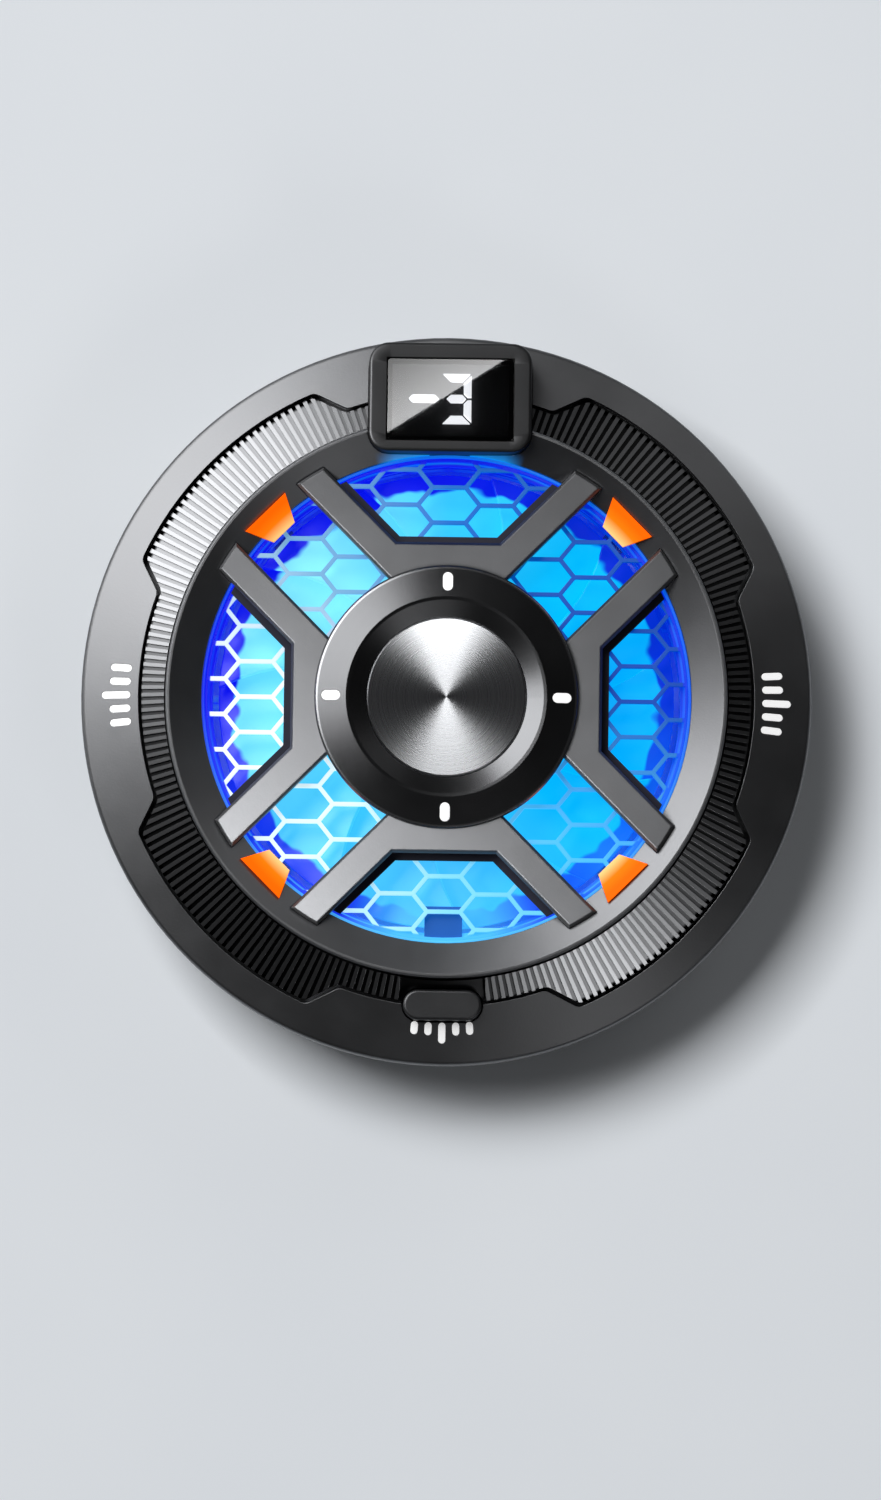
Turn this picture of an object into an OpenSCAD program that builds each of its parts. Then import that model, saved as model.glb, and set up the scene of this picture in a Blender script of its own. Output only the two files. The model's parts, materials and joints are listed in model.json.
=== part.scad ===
// Round magnetic cooling fan for the back of a phone, in millimetres.
// The origin is the middle of the face that lies on the phone. Z points out through the grille,
// Y points to the display and X to the right of someone who reads it.

/* [Magnet ring] */
// Outer diameter of the ring of magnets
magnet_ring_d = 54; // [50:0.5:60]
// Radial width of the magnets
magnet_w = 4; // [3:0.1:4.6]
// Thickness of the magnets
magnet_t = 2; // [1.5:0.1:3]
// Number of magnets
magnet_count = 18; // [12:1:20]
// Angle left free between two magnets, in degrees
magnet_space = 2.4; // [2:0.2:4]
// Thickness of the steel ring over the magnets
shield_t = 0.5; // [0.3:0.1:1]

/* [Rear shell] */
// Thickness of the silicone grip pad
pad_t = 0.6; // [0.4:0.1:1.2]
// Thickness of the floor
floor_t = 1; // [0.8:0.1:1.6]
// Thickness of the wall
shell_wall = 1.6; // [1.2:0.1:2.4]
// Chamfer round the bottom edge
shell_chamfer = 0.8; // [0.4:0.1:1.2]
// Radius of the bosses for the case screws
boss_r = 1.9; // [1.8:0.1:2.4]
// Height of those bosses above the floor
boss_h = 4.4; // [3:0.1:5.5]
// Distance from the middle of a boss to the wall
boss_to_wall = 1.3; // [1:0.1:2]
// Radius of the posts under the heat sink
post_r = 1.4; // [1.2:0.1:1.8]
// Width of an air vent
vent_w = 1.6; // [1:0.1:2]
// Height of an air vent
vent_h = 5; // [3:0.1:6]
// Angle from one vent to the next, in degrees
vent_step = 6; // [5:1:9]

/* [Cold plate and thermoelectric module] */
// Width of the shoulder that holds the cold plate in the floor
cold_shoulder_w = 1.6; // [1:0.1:2.4]
// Thickness of that shoulder
cold_shoulder_t = 1; // [0.8:0.1:2]
// Side of the thermoelectric module
tec_side = 25; // [20:0.5:26]
// Thickness of each ceramic plate
tec_plate_t = 0.7; // [0.5:0.1:1]
// Height of the pellets
tec_leg_h = 1.6; // [1.4:0.1:2.2]
// Side of a pellet
tec_leg_side = 1.8; // [1:0.1:2.4]
// Pellets in a row
tec_leg_rows = 6; // [4:1:8]
// Thickness of the module's leads
lead_d = 1; // [0.7:0.1:1.2]

/* [Heat sink] */
// Thickness of the base
sink_base_t = 1.5; // [1:0.1:2.5]
// Height of the fins
fin_h = 3.5; // [2.5:0.1:5]
// Thickness of the fins
fin_t = 0.8; // [0.5:0.1:1]
// Number of fins
fin_count = 36; // [24:4:44]

/* [Fan] */
// Number of blades
blade_count = 11; // [7:1:13]
// Height of the blades
blade_h = 2.8; // [2.2:0.1:4]
// Thickness of a blade
blade_t = 0.7; // [0.5:0.1:0.9]
// Angle that one blade covers, in degrees
blade_span = 35; // [24:1:38]
// Angle by which the tip leads the root, in degrees
blade_sweep = 14; // [0:1:24]
// Gap between the blade tips and the duct
tip_gap = 0.5; // [0.3:0.1:1]
// Gap between the fins and the blades
blade_floor_gap = 0.6; // [0.4:0.1:1.5]
// Gap between the blades and the grille
blade_roof_gap = 0.8; // [0.5:0.1:1.5]
// Wall of the impeller hub
fan_hub_wall = 0.9; // [0.6:0.1:1.4]
// Top plate of the impeller hub
fan_hub_plate = 1.1; // [0.9:0.1:1.5]

/* [Motor] */
// Diameter of the shaft
shaft_d = 1.5; // [1.2:0.1:2]
// Wall of the bearing bush
bush_wall = 0.87; // [0.6:0.01:1]
// Wall of the bearing tube
tube_wall = 0.72; // [0.5:0.01:0.9]
// Diameter of the stator
stator_d = 12.6; // [11:0.1:14]
// Height of the stator core
stator_h = 2; // [1.5:0.1:2.2]
// Number of stator poles
pole_count = 6; // [4:2:6]
// Gap between the stator and the rotor magnet
air_gap = 0.4; // [0.3:0.05:0.6]
// Thickness of the rotor magnet
rotor_magnet_t = 0.7; // [0.5:0.1:1]
// Thickness of the steel yoke
yoke_t = 0.4; // [0.3:0.1:0.6]
// Thickness of the motor base
motor_plate_t = 0.8; // [0.6:0.1:1.2]
// Thickness of the motor's circuit board
motor_board_t = 0.6; // [0.4:0.1:0.8]

/* [Front rings] */
// How far the front cover stands out past the rear shell
cover_overhang = 1; // [0.5:0.1:2]
// Width of the flange outside the lobes
flange_w = 2.7; // [2:0.1:3.5]
// Height of the cover's outer edge
edge_h = 1.9; // [1.4:0.1:2.6]
// Slope of the cover, in degrees
cover_slope = 20; // [16:1:24]
// Depth of the lobes in the cover's inner edge
lobe_depth = 2.5; // [1.5:0.1:3]
// Half of the angle of a lobe, in degrees
lobe_half = 21; // [17:1:25]
// Angle of the slanted end of a lobe, in degrees
lobe_ramp = 4.5; // [3:0.5:7]
// Fillet in the corners of a lobe
lobe_fillet = 0.9; // [0.5:0.1:1.2]
// Width of the ribbed band between two lobes
rib_band_w = 2.05; // [1.5:0.05:3]
// Slope of the ribbed band, in degrees
rib_slope = 25; // [21:1:28]
// Number of ribs
rib_count = 248; // [160:8:264]
// Height of the ribs
rib_h = 0.35; // [0.2:0.05:0.6]
// How far the ribs lie below the cover at the lobes
rib_sink = 0.45; // [0.3:0.05:0.8]
// Thickness of the ribbed ring
rib_ring_t = 1.3; // [1.1:0.1:1.6]
// Thickness of the cover's seat under the ribbed ring
seat_t = 1.2; // [0.9:0.1:1.6]
// Width of the bezel ring
bezel_w = 3.2; // [2.6:0.1:4]
// Slope of the bezel's funnel, in degrees
bezel_slope = 30; // [22:1:36]
// Flat top of the bezel's rim
rim_flat = 0.35; // [0.2:0.05:0.6]
// Outer wall of the bezel ring
bezel_wall = 0.75; // [0.6:0.05:1]
// Height of the bezel's rim above the cover's edge
rim_rise = 4; // [3.6:0.1:4.6]

/* [Grille and guard] */
// Thickness of the honeycomb grille
grille_t = 1.1; // [0.8:0.1:1.6]
// Distance between columns of the honeycomb
cell_col = 4.3; // [3.6:0.1:5]
// Distance between rows of the honeycomb
cell_row = 3.2; // [2.6:0.1:4]
// Length along a row that a slanted wall of the honeycomb takes
cell_slant = 1.29; // [0.9:0.01:1.6]
// Thickness of the honeycomb's walls
cell_wall = 0.36; // [0.3:0.02:0.6]
// Width of the rim round the honeycomb
grille_rim_w = 0.25; // [0.2:0.05:0.8]
// Thickness of the dark carrier under the guard
carrier_t = 0.4; // [0.3:0.1:0.8]
// How far the carrier shows past the guard
carrier_show = 0.65; // [0.3:0.05:1]
// Thickness of the guard
guard_t = 1.6; // [1.2:0.1:2.4]
// Half of the slot between two parallel bars
bar_slot_half = 3.8; // [3.2:0.1:4.2]
// Width of a bar
bar_w = 2.8; // [2:0.1:3.4]
// Distance from the middle to the straight edge of the guard
window_edge = 14; // [13:0.1:15]
// How far the bars stop short of the bezel's outer edge
bar_end_inset = 1.75; // [1:0.05:2.4]
// Chamfer on the bars
bar_chamfer = 0.25; // [0.1:0.05:0.4]

/* [Hub] */
// Diameter of the hub cap
hub_d = 23.8; // [21:0.1:25]
// Diameter of the ridge on the hub cap
hub_ridge_d = 17.8; // [16:0.1:19]
// Diameter of the metal badge
badge_d = 14.4; // [10:0.1:15]
// Thickness of the metal badge
badge_t = 0.5; // [0.3:0.1:0.8]
// Height of the hub cap's outer edge
hub_edge_h = 0.5; // [0.3:0.1:0.8]
// Height of the ridge above that edge
hub_rise = 0.6; // [0.3:0.1:1]
// Depth of the groove inside the ridge
hub_groove = 0.6; // [0.3:0.1:0.7]

/* [Accent tabs and marks] */
// Width of an accent tab at its outer end
tab_w_out = 5; // [4:0.1:6]
// Width of an accent tab at its inner end
tab_w_in = 2.6; // [1.6:0.1:3.6]
// Length of an accent tab
tab_l = 2.45; // [2:0.05:3]
// How far an accent tab stops short of the bezel's outer edge
tab_inset = 1.9; // [1.4:0.1:2.4]
// Depth of the white marks
mark_depth = 0.35; // [0.2:0.05:0.5]
// Width of a mark on the flange
mark_w = 0.65; // [0.4:0.05:0.8]
// Length of a short mark at the sides
mark_l = 1.9; // [1.2:0.1:2.2]
// Length of a short mark below the button
low_mark_l = 1.15; // [0.9:0.05:1.4]
// Extra length of the middle mark
mark_extra = 0.7; // [0.3:0.1:0.9]
// Angle between two marks, in degrees
mark_step = 2.4; // [2:0.1:3]
// Width of a mark on the hub
hub_mark_w = 0.9; // [0.6:0.1:1.2]
// Length of a mark on the hub
hub_mark_l = 1.7; // [1.2:0.1:2]

/* [Display] */
// Width of the display frame
display_w = 14.7; // [13:0.1:16]
// Height of the display frame as one reads it
display_l = 9.85; // [9:0.05:10.4]
// Corner radius of the display frame
display_corner = 1.8; // [1:0.1:2.4]
// Width of the display window
window_w = 11.4; // [10:0.1:12]
// Height of the display window as one reads it
window_l = 7.4; // [6.5:0.1:7.8]
// Height of the display frame above the bezel's rim
display_rise = 0.95; // [0.5:0.05:1.6]
// Thickness of the display glass
glass_t = 0.8; // [0.5:0.1:1]
// Depth of the glass below the frame
glass_sink = 0.25; // [0.1:0.05:0.4]
// Height of a digit
digit_h = 4.5; // [3.5:0.1:5]
// Width of a digit
digit_w = 2.7; // [2:0.1:3]
// Thickness of a digit's strokes
stroke_w = 0.7; // [0.4:0.05:0.8]
// How far each stroke is drawn back where strokes meet
stroke_gap = 0.13; // [0.05:0.01:0.2]

/* [Button] */
// Length of the button
button_l = 7.1; // [6:0.1:8]
// Width of the button
button_w = 2.8; // [2.4:0.1:3.2]
// How far the button stands out of the cover
button_proud = 0.5; // [0.3:0.05:0.8]
// Travel of the button
button_travel = 0.5; // [0.3:0.05:0.6]
// Width of the lip that keeps the button in the cover
button_lip_w = 0.4; // [0.3:0.05:0.5]
// Thickness of that lip
button_lip_t = 0.5; // [0.4:0.05:0.7]
// Height of the switch under the button
switch_h = 0.9; // [0.8:0.05:1.2]
// Diameter of the switch plunger
plunger_d = 1.4; // [1:0.1:1.6]

/* [Boards and power inlet] */
// Thickness of the main board
board_t = 0.8; // [0.6:0.1:1.2]
// Thickness of the light board
light_board_t = 0.8; // [0.6:0.1:1]
// Number of lamps on the light board
led_count = 12; // [8:4:24]
// Height of a lamp
led_h = 0.7; // [0.5:0.1:0.8]
// Width of the glowing lip at the opening
glow_lip_w = 0.2; // [0.2:0.05:0.8]
// Width of the ledge under the grille
grille_ledge_w = 0.65; // [0.5:0.05:1]
// Width of the power socket
usb_w = 8.94; // [8.9:0.01:9]
// Height of the power socket
usb_h = 3.26; // [3.2:0.01:3.3]
// Depth of the power socket
usb_depth = 7.2; // [6.5:0.1:7.4]
// Sheet thickness of the power socket
usb_sheet = 0.3; // [0.25:0.01:0.35]

/* [Screws] */
// Diameter of the case screws
case_screw_d = 1.4; // [1.2:0.1:1.6]
// Head diameter of the case screws
case_head_d = 2.6; // [2.2:0.1:2.8]
// Diameter of the heat sink screws
sink_screw_d = 1.2; // [1:0.1:1.4]
// Head diameter of the heat sink screws
sink_head_d = 2.2; // [1.8:0.1:2.6]
// Height of the screw heads
screw_head_h = 0.9; // [0.6:0.1:1.1]

/* [Clearances] */
// Clearance between fixed pieces that nest
fit = 0.05; // [0.02:0.01:0.1]
// Running clearance of the shaft
run = 0.03; // [0.02:0.01:0.08]
// Seam round the ribbed ring
seam = 0.3; // [0.2:0.05:0.5]
// Gap round the button, and between the rings
gap = 0.15; // [0.1:0.05:0.3]
// Room left between pieces inside
room = 0.3; // [0.2:0.05:0.5]

/* [Hidden] */
$fn = 96;
// A thin overlap that joins two shapes of one piece
e = 0.01;
// How far a rib, a foot or a pole runs into the shape that it grows from
root = 0.2;
// How far a cutting shape runs past the face that it cuts
cut = 1;

// Heights, from the phone upwards
z_floor = pad_t + floor_t;
z_shield = z_floor + magnet_t;
z_cold = z_floor + cold_shoulder_t;
z_legs = z_cold + tec_plate_t;
z_hot = z_legs + tec_leg_h;
z_sink = z_hot + tec_plate_t;
z_base = z_sink + sink_base_t;
z_fins = z_base + fin_h;
z_blade = z_fins + blade_floor_gap;
z_blade_top = z_blade + blade_h;
z_grille = z_blade_top + blade_roof_gap;
z_carrier = z_grille + grille_t;
z_guard = z_carrier + carrier_t;
z_guard_top = z_guard + guard_t;
z_open = z_guard + room;
z_rim = z_open + (bezel_w - rim_flat) * tan(bezel_slope);
z_edge = z_rim - rim_rise;
z_joint = z_edge - edge_h;
z_display = z_rim + display_rise;

// Radii of the magnet side, outwards and inwards from the magnets
magnet_ro = magnet_ring_d / 2;
magnet_ri = magnet_ro - magnet_w;
boss_pos = magnet_ro + fit + gap + boss_r;
shell_ri = boss_pos + boss_to_wall;
shell_r = shell_ri + shell_wall;
post_pos = magnet_ri - room - post_r;
cold_rim_r = post_pos - post_r - room;
cold_face_r = cold_rim_r - cold_shoulder_w;
sink_r = post_pos + post_r;
head_hole_r = case_head_d / 2 + gap;
pad_ro = boss_pos - head_hole_r - room;

// Radii of the front, inwards from the cover's edge
cover_r = shell_r + cover_overhang;
lobe_r = cover_r - flange_w;
narrow_r = lobe_r - lobe_depth;
rib_ri = narrow_r - seam - rib_band_w;
bezel_ro = rib_ri - gap;
bezel_wall_ri = bezel_ro - bezel_wall;
opening_r = bezel_ro - bezel_w;
lip_ro = opening_r - fit;
lip_ri = lip_ro - glow_lip_w;
grille_r = lip_ri - fit;
grille_rim_r = grille_r - grille_rim_w;
duct_ri = grille_r - grille_ledge_w;
duct_ro = bezel_wall_ri - 2 * room;
tip_r = duct_ri - tip_gap;
bar_end_r = bezel_ro - bar_end_inset;
hub_r = hub_d / 2;

// Slopes of the front
function cover_top(r) = z_edge + (cover_r - r) * tan(cover_slope);
function rib_top(r) = cover_top(lobe_r) - rib_sink + (lobe_r - r) * tan(rib_slope);
function rib_seat(r) = rib_top(r) - rib_ring_t;
function cover_under(r) = rib_seat(r) - seat_t;
function funnel_top(r) = z_open + (r - opening_r) * tan(bezel_slope);

// Button, switch and main board, downwards from the cover
button_pos = narrow_r - gap;
z_button = cover_top(button_pos) + button_proud;
z_stop = cover_under(button_pos) + gap;
z_button_lip = z_stop - fit - button_lip_t;
z_switch = z_button_lip - button_travel - gap;
z_board = z_switch - switch_h;
z_board_under = z_board - board_t;
plunger_sink = 0.2;

// Light guide and its board, downwards from the grille
guide_foot_h = 1;
guide_t = 0.6;
z_light = z_grille - guide_foot_h;
z_duct_top = z_light - light_board_t;
z_guide = z_light + led_h + gap;
z_guide_top = z_guide + guide_t;
light_ro = duct_ro + room / 2;
led_size = [1.4, 1.8];
led_pos = (lip_ro + bezel_wall_ri) / 2;

// Case screws and sink screws on the diagonals
z_boss = z_floor + boss_h;
screw_angles = [45, 135, 225, 315];
z_case_head = pad_t + 2 * gap;
case_screw_l = z_board_under - z_case_head - screw_head_h;
pillar_r = boss_r - room;
sink_screw_l = z_base - z_floor - 2 * room;

// Motor stack
collar_w = 0.6;
core_wall = 0.9;
shaft_r = shaft_d / 2;
bush_ri = shaft_r + run;
bush_ro = bush_ri + bush_wall;
tube_ri = bush_ro + fit;
tube_ro = tube_ri + tube_wall;
collar_r = tube_ro + collar_w;
core_r = tube_ro + fit + core_wall;
stator_r = stator_d / 2;
rotor_ri = stator_r + air_gap;
rotor_ro = rotor_ri + rotor_magnet_t;
yoke_ri = rotor_ro + fit;
yoke_ro = yoke_ri + yoke_t;
fan_hub_ri = yoke_ro + fit;
fan_hub_ro = fan_hub_ri + fan_hub_wall;
motor_plate_r = fan_hub_ro + 2 * room;
fin_ri = motor_plate_r + 3 * room;
z_motor = z_base + motor_plate_t;
z_motor_board = z_motor + motor_board_t;
coil_over = 0.4;
z_stator = z_motor_board + coil_over + room;
z_hub_plate = z_blade_top - fan_hub_plate;
z_yoke = z_hub_plate - yoke_t;
z_rotor = z_motor_board + 2 * room;
z_tube = z_yoke - room;
thrust_t = 0.3;

// Main board
board_ri = duct_ro + room;
board_ro = shell_ri - room;
board_rib_w = 1.2;
board_rib_l = 2.4;
board_rib_turn = 20;
bezel_foot_w = 1;
cover_lip_t = 0.8;
chip_pos = (bezel_ro + bezel_foot_w + shell_ri - gap - cover_lip_t) / 2;

// Power socket under the main board
usb_z = z_board_under - usb_h / 2;
usb_front = shell_r - room;

// Helper shapes

// A ring with a square section.
module ring(ri, ro, z0, z1) {
    rotate_extrude() translate([ri, z0]) square([ro - ri, z1 - z0]);
}

// A turned piece from its half section.
module turn(points) {
    rotate_extrude() polygon(points);
}

// Places children at a radius and an angle.
module at(r, a) {
    rotate([0, 0, a]) translate([r, 0, 0]) children();
}

// An upright pin or hole.
module pin(r, z0, z1) {
    translate([0, 0, z0]) cylinder(r = r, h = z1 - z0);
}

// A block between two corners.
module block(low, high) {
    translate(low) cube(high - low);
}

function polar(r, a) = [r * cos(a), r * sin(a)];
function arc(r, a0, a1, n) = [for (i = [0:n]) polar(r, a0 + (a1 - a0) * i / n)];
function unit(v) = v / norm(v);

// Points of a fillet at b, between the edges to a and to c.
function fillet(a, b, c, r, n = 4) =
    let (
        u = unit(a - b),
        w = unit(c - b),
        half = acos(u * w) / 2,
        middle = b + unit(u + w) * r / sin(half),
        p = b + u * r / tan(half) - middle,
        q = b + w * r / tan(half) - middle,
        start = atan2(p[1], p[0]),
        turned = (atan2(q[1], q[0]) - start + 540) % 360 - 180
    )
    [for (i = [0:n]) middle + polar(r, start + turned * i / n)];

function rounded_rect(w, h, r) =
    let (x = w / 2 - r, y = h / 2 - r, corners = [[x, y], [-x, y], [-x, -y], [x, -y]])
    [for (k = [0:3]) for (p = arc(r, 90 * k, 90 * k + 90, 6)) corners[k] + p];

// A bar with round ends, from the origin along X.
function pill(l, w) = concat(
    [for (p = arc(w / 2, -90, 90, 8)) p + [l - w / 2, 0]],
    [for (p = arc(w / 2, 90, 270, 8)) p + [w / 2, 0]]
);

// Inner edge of the front cover: a circle with four lobes, drawn in by an inset.
function lobed(inset) =
    let (
        rn = narrow_r - inset,
        rw = lobe_r - inset,
        top = lobe_half - asin(inset / rw),
        foot = top + lobe_ramp,
        step = 3
    )
    [
        for (k = [0:3])
            let (c = 45 + 90 * k)
            each concat(
                fillet(polar(rn, c - foot - step), polar(rn, c - foot), polar(rw, c - top), lobe_fillet),
                fillet(polar(rn, c - foot), polar(rw, c - top), polar(rw, c - top + step), lobe_fillet),
                arc(rw, c - top + step, c + top - step, 16),
                fillet(polar(rw, c + top - step), polar(rw, c + top), polar(rn, c + foot), lobe_fillet),
                fillet(polar(rw, c + top), polar(rn, c + foot), polar(rn, c + foot + step), lobe_fillet),
                arc(rn, c + foot + step, c + 90 - foot - step, 12)
            )
    ];

// The space over a cone that falls outwards, from its height at two radii.
module above(ri, zi, ro, zo) {
    turn([[ri, zi], [ro, zo], [ro, z_display + cut], [ri, z_display + cut]]);
}

// The space over the ribbed band, from a depth below the tops of the ribs.
module above_ribs(depth) {
    ri = rib_ri - cut;
    ro = lobe_r + cut;
    above(ri, rib_top(ri) - depth, ro, rib_top(ro) - depth);
}

// Rear shell and magnet side

module rear_shell() {
    vent_z = (z_boss + z_board_under) / 2;
    rib_angles = [for (k = [0:3]) for (s = [-1, 1]) 90 * k + board_rib_turn * s];
    spacer_half = magnet_ri * sin(magnet_space / 2) - gap;
    // A vent stays clear of pieces of a given width at the listed angles.
    function clear_of(a, list, w) =
        let (free = (w + vent_w + 2 * room) / (2 * shell_ri) * 180 / PI)
        min([for (b = list) abs((a - b + 540) % 360 - 180)]) > free;
    function has_vent(a) =
        clear_of(a, rib_angles, board_rib_w)
        && clear_of(a, screw_angles, 2 * boss_r)
        && clear_of(a, [270], usb_w + 2 * shell_wall);
    vents = [for (a = [0:vent_step:359]) if (has_vent(a)) a];
    color("#26292c") difference() {
        union() {
            turn([
                [cold_face_r + fit, pad_t],
                [shell_r - shell_chamfer, pad_t],
                [shell_r, pad_t + shell_chamfer],
                [shell_r, z_joint],
                [shell_ri, z_joint],
                [shell_ri, z_floor],
                [cold_face_r + fit, z_floor]
            ]);
            for (a = screw_angles) {
                at(boss_pos, a) pin(boss_r, z_floor - e, z_boss);
                at(post_pos, a) pin(post_r, z_floor - e, z_sink);
            }
            for (a = rib_angles)
                rotate([0, 0, a])
                    block([shell_ri - board_rib_l, -board_rib_w / 2, z_floor - e],
                          [shell_ri + root, board_rib_w / 2, z_board_under]);
            for (i = [0:magnet_count - 1])
                at(0, i * 360 / magnet_count)
                    block([magnet_ri + magnet_w / 4, -spacer_half, z_floor - e],
                          [magnet_ro - magnet_w / 4, spacer_half, z_shield]);
        }
        for (a = screw_angles) {
            at(boss_pos, a) pin(case_screw_d / 2 + gap, pad_t - cut, z_boss + cut);
            at(boss_pos, a) pin(head_hole_r, pad_t - cut, z_case_head + screw_head_h);
            at(post_pos, a) pin(sink_screw_d / 2 + fit, z_floor + room, z_sink + cut);
        }
        for (a = vents)
            rotate([0, 0, a])
                block([shell_ri - cut, -vent_w / 2, vent_z - vent_h / 2],
                      [shell_r + cut, vent_w / 2, vent_z + vent_h / 2]);
        socket_body(gap, shell_ri - cut, shell_r + cut);
    }
}

module grip_pad() {
    edge = 0.2;
    color("#3a3c3e") turn([
        [cold_face_r + 2 * room, edge],
        [cold_face_r + 2 * room + edge, 0],
        [pad_ro - edge, 0],
        [pad_ro, edge],
        [pad_ro, pad_t],
        [cold_face_r + 2 * room, pad_t]
    ]);
}

module magnet_ring() {
    step = 360 / magnet_count;
    color("silver") difference() {
        for (i = [0:magnet_count - 1])
            rotate([0, 0, i * step + magnet_space / 2])
                rotate_extrude(angle = step - magnet_space)
                    translate([magnet_ri, z_floor]) square([magnet_w, magnet_t]);
        lead_channel(magnet_ri - cut, magnet_ro + cut);
    }
}

module magnet_shield() {
    color("#9aa0a6") difference() {
        ring(magnet_ri, magnet_ro, z_shield, z_shield + shield_t);
        lead_channel(magnet_ri - cut, magnet_ro + cut);
    }
}

module cold_plate() {
    edge = 0.2;
    color("#c9ccd0") turn([
        [0, 0],
        [cold_face_r - edge, 0],
        [cold_face_r, edge],
        [cold_face_r, z_floor],
        [cold_rim_r, z_floor],
        [cold_rim_r, z_cold],
        [0, z_cold]
    ]);
}

// Thermoelectric module

module tec_plate(z) {
    s = tec_side / 2;
    block([-s, -s, z], [s, s, z + tec_plate_t]);
}

module tec_cold_ceramic() {
    color("#f1f1ec") tec_plate(z_cold);
}

module tec_hot_ceramic() {
    color("#f1f1ec") tec_plate(z_hot);
}

module tec_pellets() {
    step = (tec_side - 2 * room) / tec_leg_rows;
    color("#6d6f73") for (i = [0:tec_leg_rows - 1]) for (j = [0:tec_leg_rows - 1])
        translate([
            (i + 0.5) * step - tec_side / 2 + room - tec_leg_side / 2,
            (j + 0.5) * step - tec_side / 2 + room - tec_leg_side / 2,
            z_legs
        ]) cube([tec_leg_side, tec_leg_side, tec_leg_h]);
}

// A lead along X at one height, then up to the main board.
module lead(x0, x1, y, z, d, bend) {
    r = d / 2;
    translate([x0, y, z]) rotate([0, 90, 0]) cylinder(r = r, h = x1 - bend - x0);
    translate([x1 - bend, y, z + bend]) rotate([-90, 0, 0])
        rotate_extrude(angle = 90) translate([bend, 0]) circle(r = r);
    translate([x1, y, z + bend]) cylinder(r = r, h = z_board_under - z - bend);
}

tec_lead_z = z_sink - lead_d / 2 - room;
tec_lead_y = 1.5;
tec_lead_bend = 1.4;

// The way for the module's leads, from just below them upwards.
module lead_channel(x0, x1) {
    w = tec_lead_y + lead_d / 2 + room;
    block([x0, -w, tec_lead_z - lead_d / 2 - gap], [x1, w, z_sink + cut]);
}

module tec_leads() {
    color("#b3262a") for (s = [-1, 1])
        lead(tec_side / 2, board_ri + lead_d, s * tec_lead_y, tec_lead_z, lead_d, tec_lead_bend);
}

sensor_pos = -(tec_side / 2 + cold_rim_r) / 2;
sensor_size = [2.6, 1.4, 1.2];

module temp_sensor() {
    color("#20242a") translate([sensor_pos - sensor_size[0] / 2, -sensor_size[1] / 2, z_cold])
        cube(sensor_size);
}

// Four segments of foam round the module, with a slit at each of its corners.
module foam_gasket() {
    s = tec_side / 2 + room / 2;
    color("#55585c") difference() {
        ring(0, cold_rim_r - room, z_cold, z_sink);
        block([-s, -s, z_cold - cut], [s, s, z_sink + cut]);
        for (a = screw_angles) rotate([0, 0, a])
            block([s, -gap, z_cold - cut], [cold_rim_r + cut, gap, z_sink + cut]);
        lead_channel(s - cut, cold_rim_r + cut);
        translate([sensor_pos - sensor_size[0] / 2 - gap, -sensor_size[1] / 2 - gap, z_cold - cut])
            cube(sensor_size + [2 * gap, 2 * gap, cut + gap]);
    }
}

// Heat sink

lead_angle = 180;
duct_foot_angles = [22.5, 112.5, 202.5, 292.5];
foot_r = 1.2;
foot_pos = sink_r - foot_r;
foot_pin_r = 0.6;

module heat_sink() {
    fin_ro = min(post_pos - sink_head_d / 2, foot_pos - foot_r) - room;
    step = 360 / fin_count;
    color("#8f949a") difference() {
        union() {
            ring(0, sink_r, z_sink, z_base);
            for (i = [0:fin_count - 1])
                if (i * step != lead_angle)
                    rotate([0, 0, i * step])
                        block([fin_ri, -fin_t / 2, z_base - e], [fin_ro, fin_t / 2, z_fins]);
        }
        for (a = screw_angles) at(post_pos, a) pin(sink_screw_d / 2 + gap, z_sink - cut, z_base + cut);
        for (a = duct_foot_angles) at(foot_pos, a) pin(foot_pin_r + fit, z_sink - cut, z_base + cut);
    }
}

// A pan-head screw with a cross slot. The head lies on the side of the given direction.
module screw(d, head_d, head_h, l, up) {
    slot = 0.3;
    reach = head_d * 0.3;
    mirror([0, 0, up ? 0 : 1]) difference() {
        union() {
            pin(d / 2, -l, e);
            pin(head_d / 2, 0, head_h);
        }
        for (a = [0, 90]) rotate([0, 0, a])
            block([-reach, -slot / 2, head_h / 2], [reach, slot / 2, head_h + cut]);
    }
}

module sink_screws() {
    color("#b9bcc0") for (a = screw_angles)
        at(post_pos, a) translate([0, 0, z_base])
            screw(sink_screw_d, sink_head_d, screw_head_h, sink_screw_l, true);
}

// Motor and fan

module motor_base() {
    color("#303336") turn([
        [0, z_base],
        [motor_plate_r, z_base],
        [motor_plate_r, z_motor],
        [collar_r, z_motor],
        [collar_r, z_stator],
        [tube_ro, z_stator],
        [tube_ro, z_tube],
        [tube_ri, z_tube],
        [tube_ri, z_motor],
        [0, z_motor]
    ]);
}

module motor_board() {
    color("#1f5c38") ring(collar_r + fit, fan_hub_ro, z_motor, z_motor_board);
}

module thrust_pad() {
    color("#e8e4d8") ring(0, bush_ro, z_motor, z_motor + thrust_t);
}

module bearing_bush() {
    color("#b08d57") ring(bush_ri, bush_ro, z_motor + thrust_t + gap, z_tube - gap);
}

pole_w = 1.5;
shoe_t = 0.8;

module stator_core() {
    shoe_share = 0.72;
    shoe_angle = 360 / pole_count * shoe_share;
    z_top = z_stator + stator_h;
    color("#777b80") union() {
        ring(tube_ro + fit, core_r, z_stator, z_top);
        for (i = [0:pole_count - 1]) rotate([0, 0, i * 360 / pole_count]) {
            block([core_r - root, -pole_w / 2, z_stator], [stator_r - shoe_t / 2, pole_w / 2, z_top]);
            rotate([0, 0, -shoe_angle / 2]) rotate_extrude(angle = shoe_angle)
                translate([stator_r - shoe_t, z_stator]) square([shoe_t, stator_h]);
        }
    }
}

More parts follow.
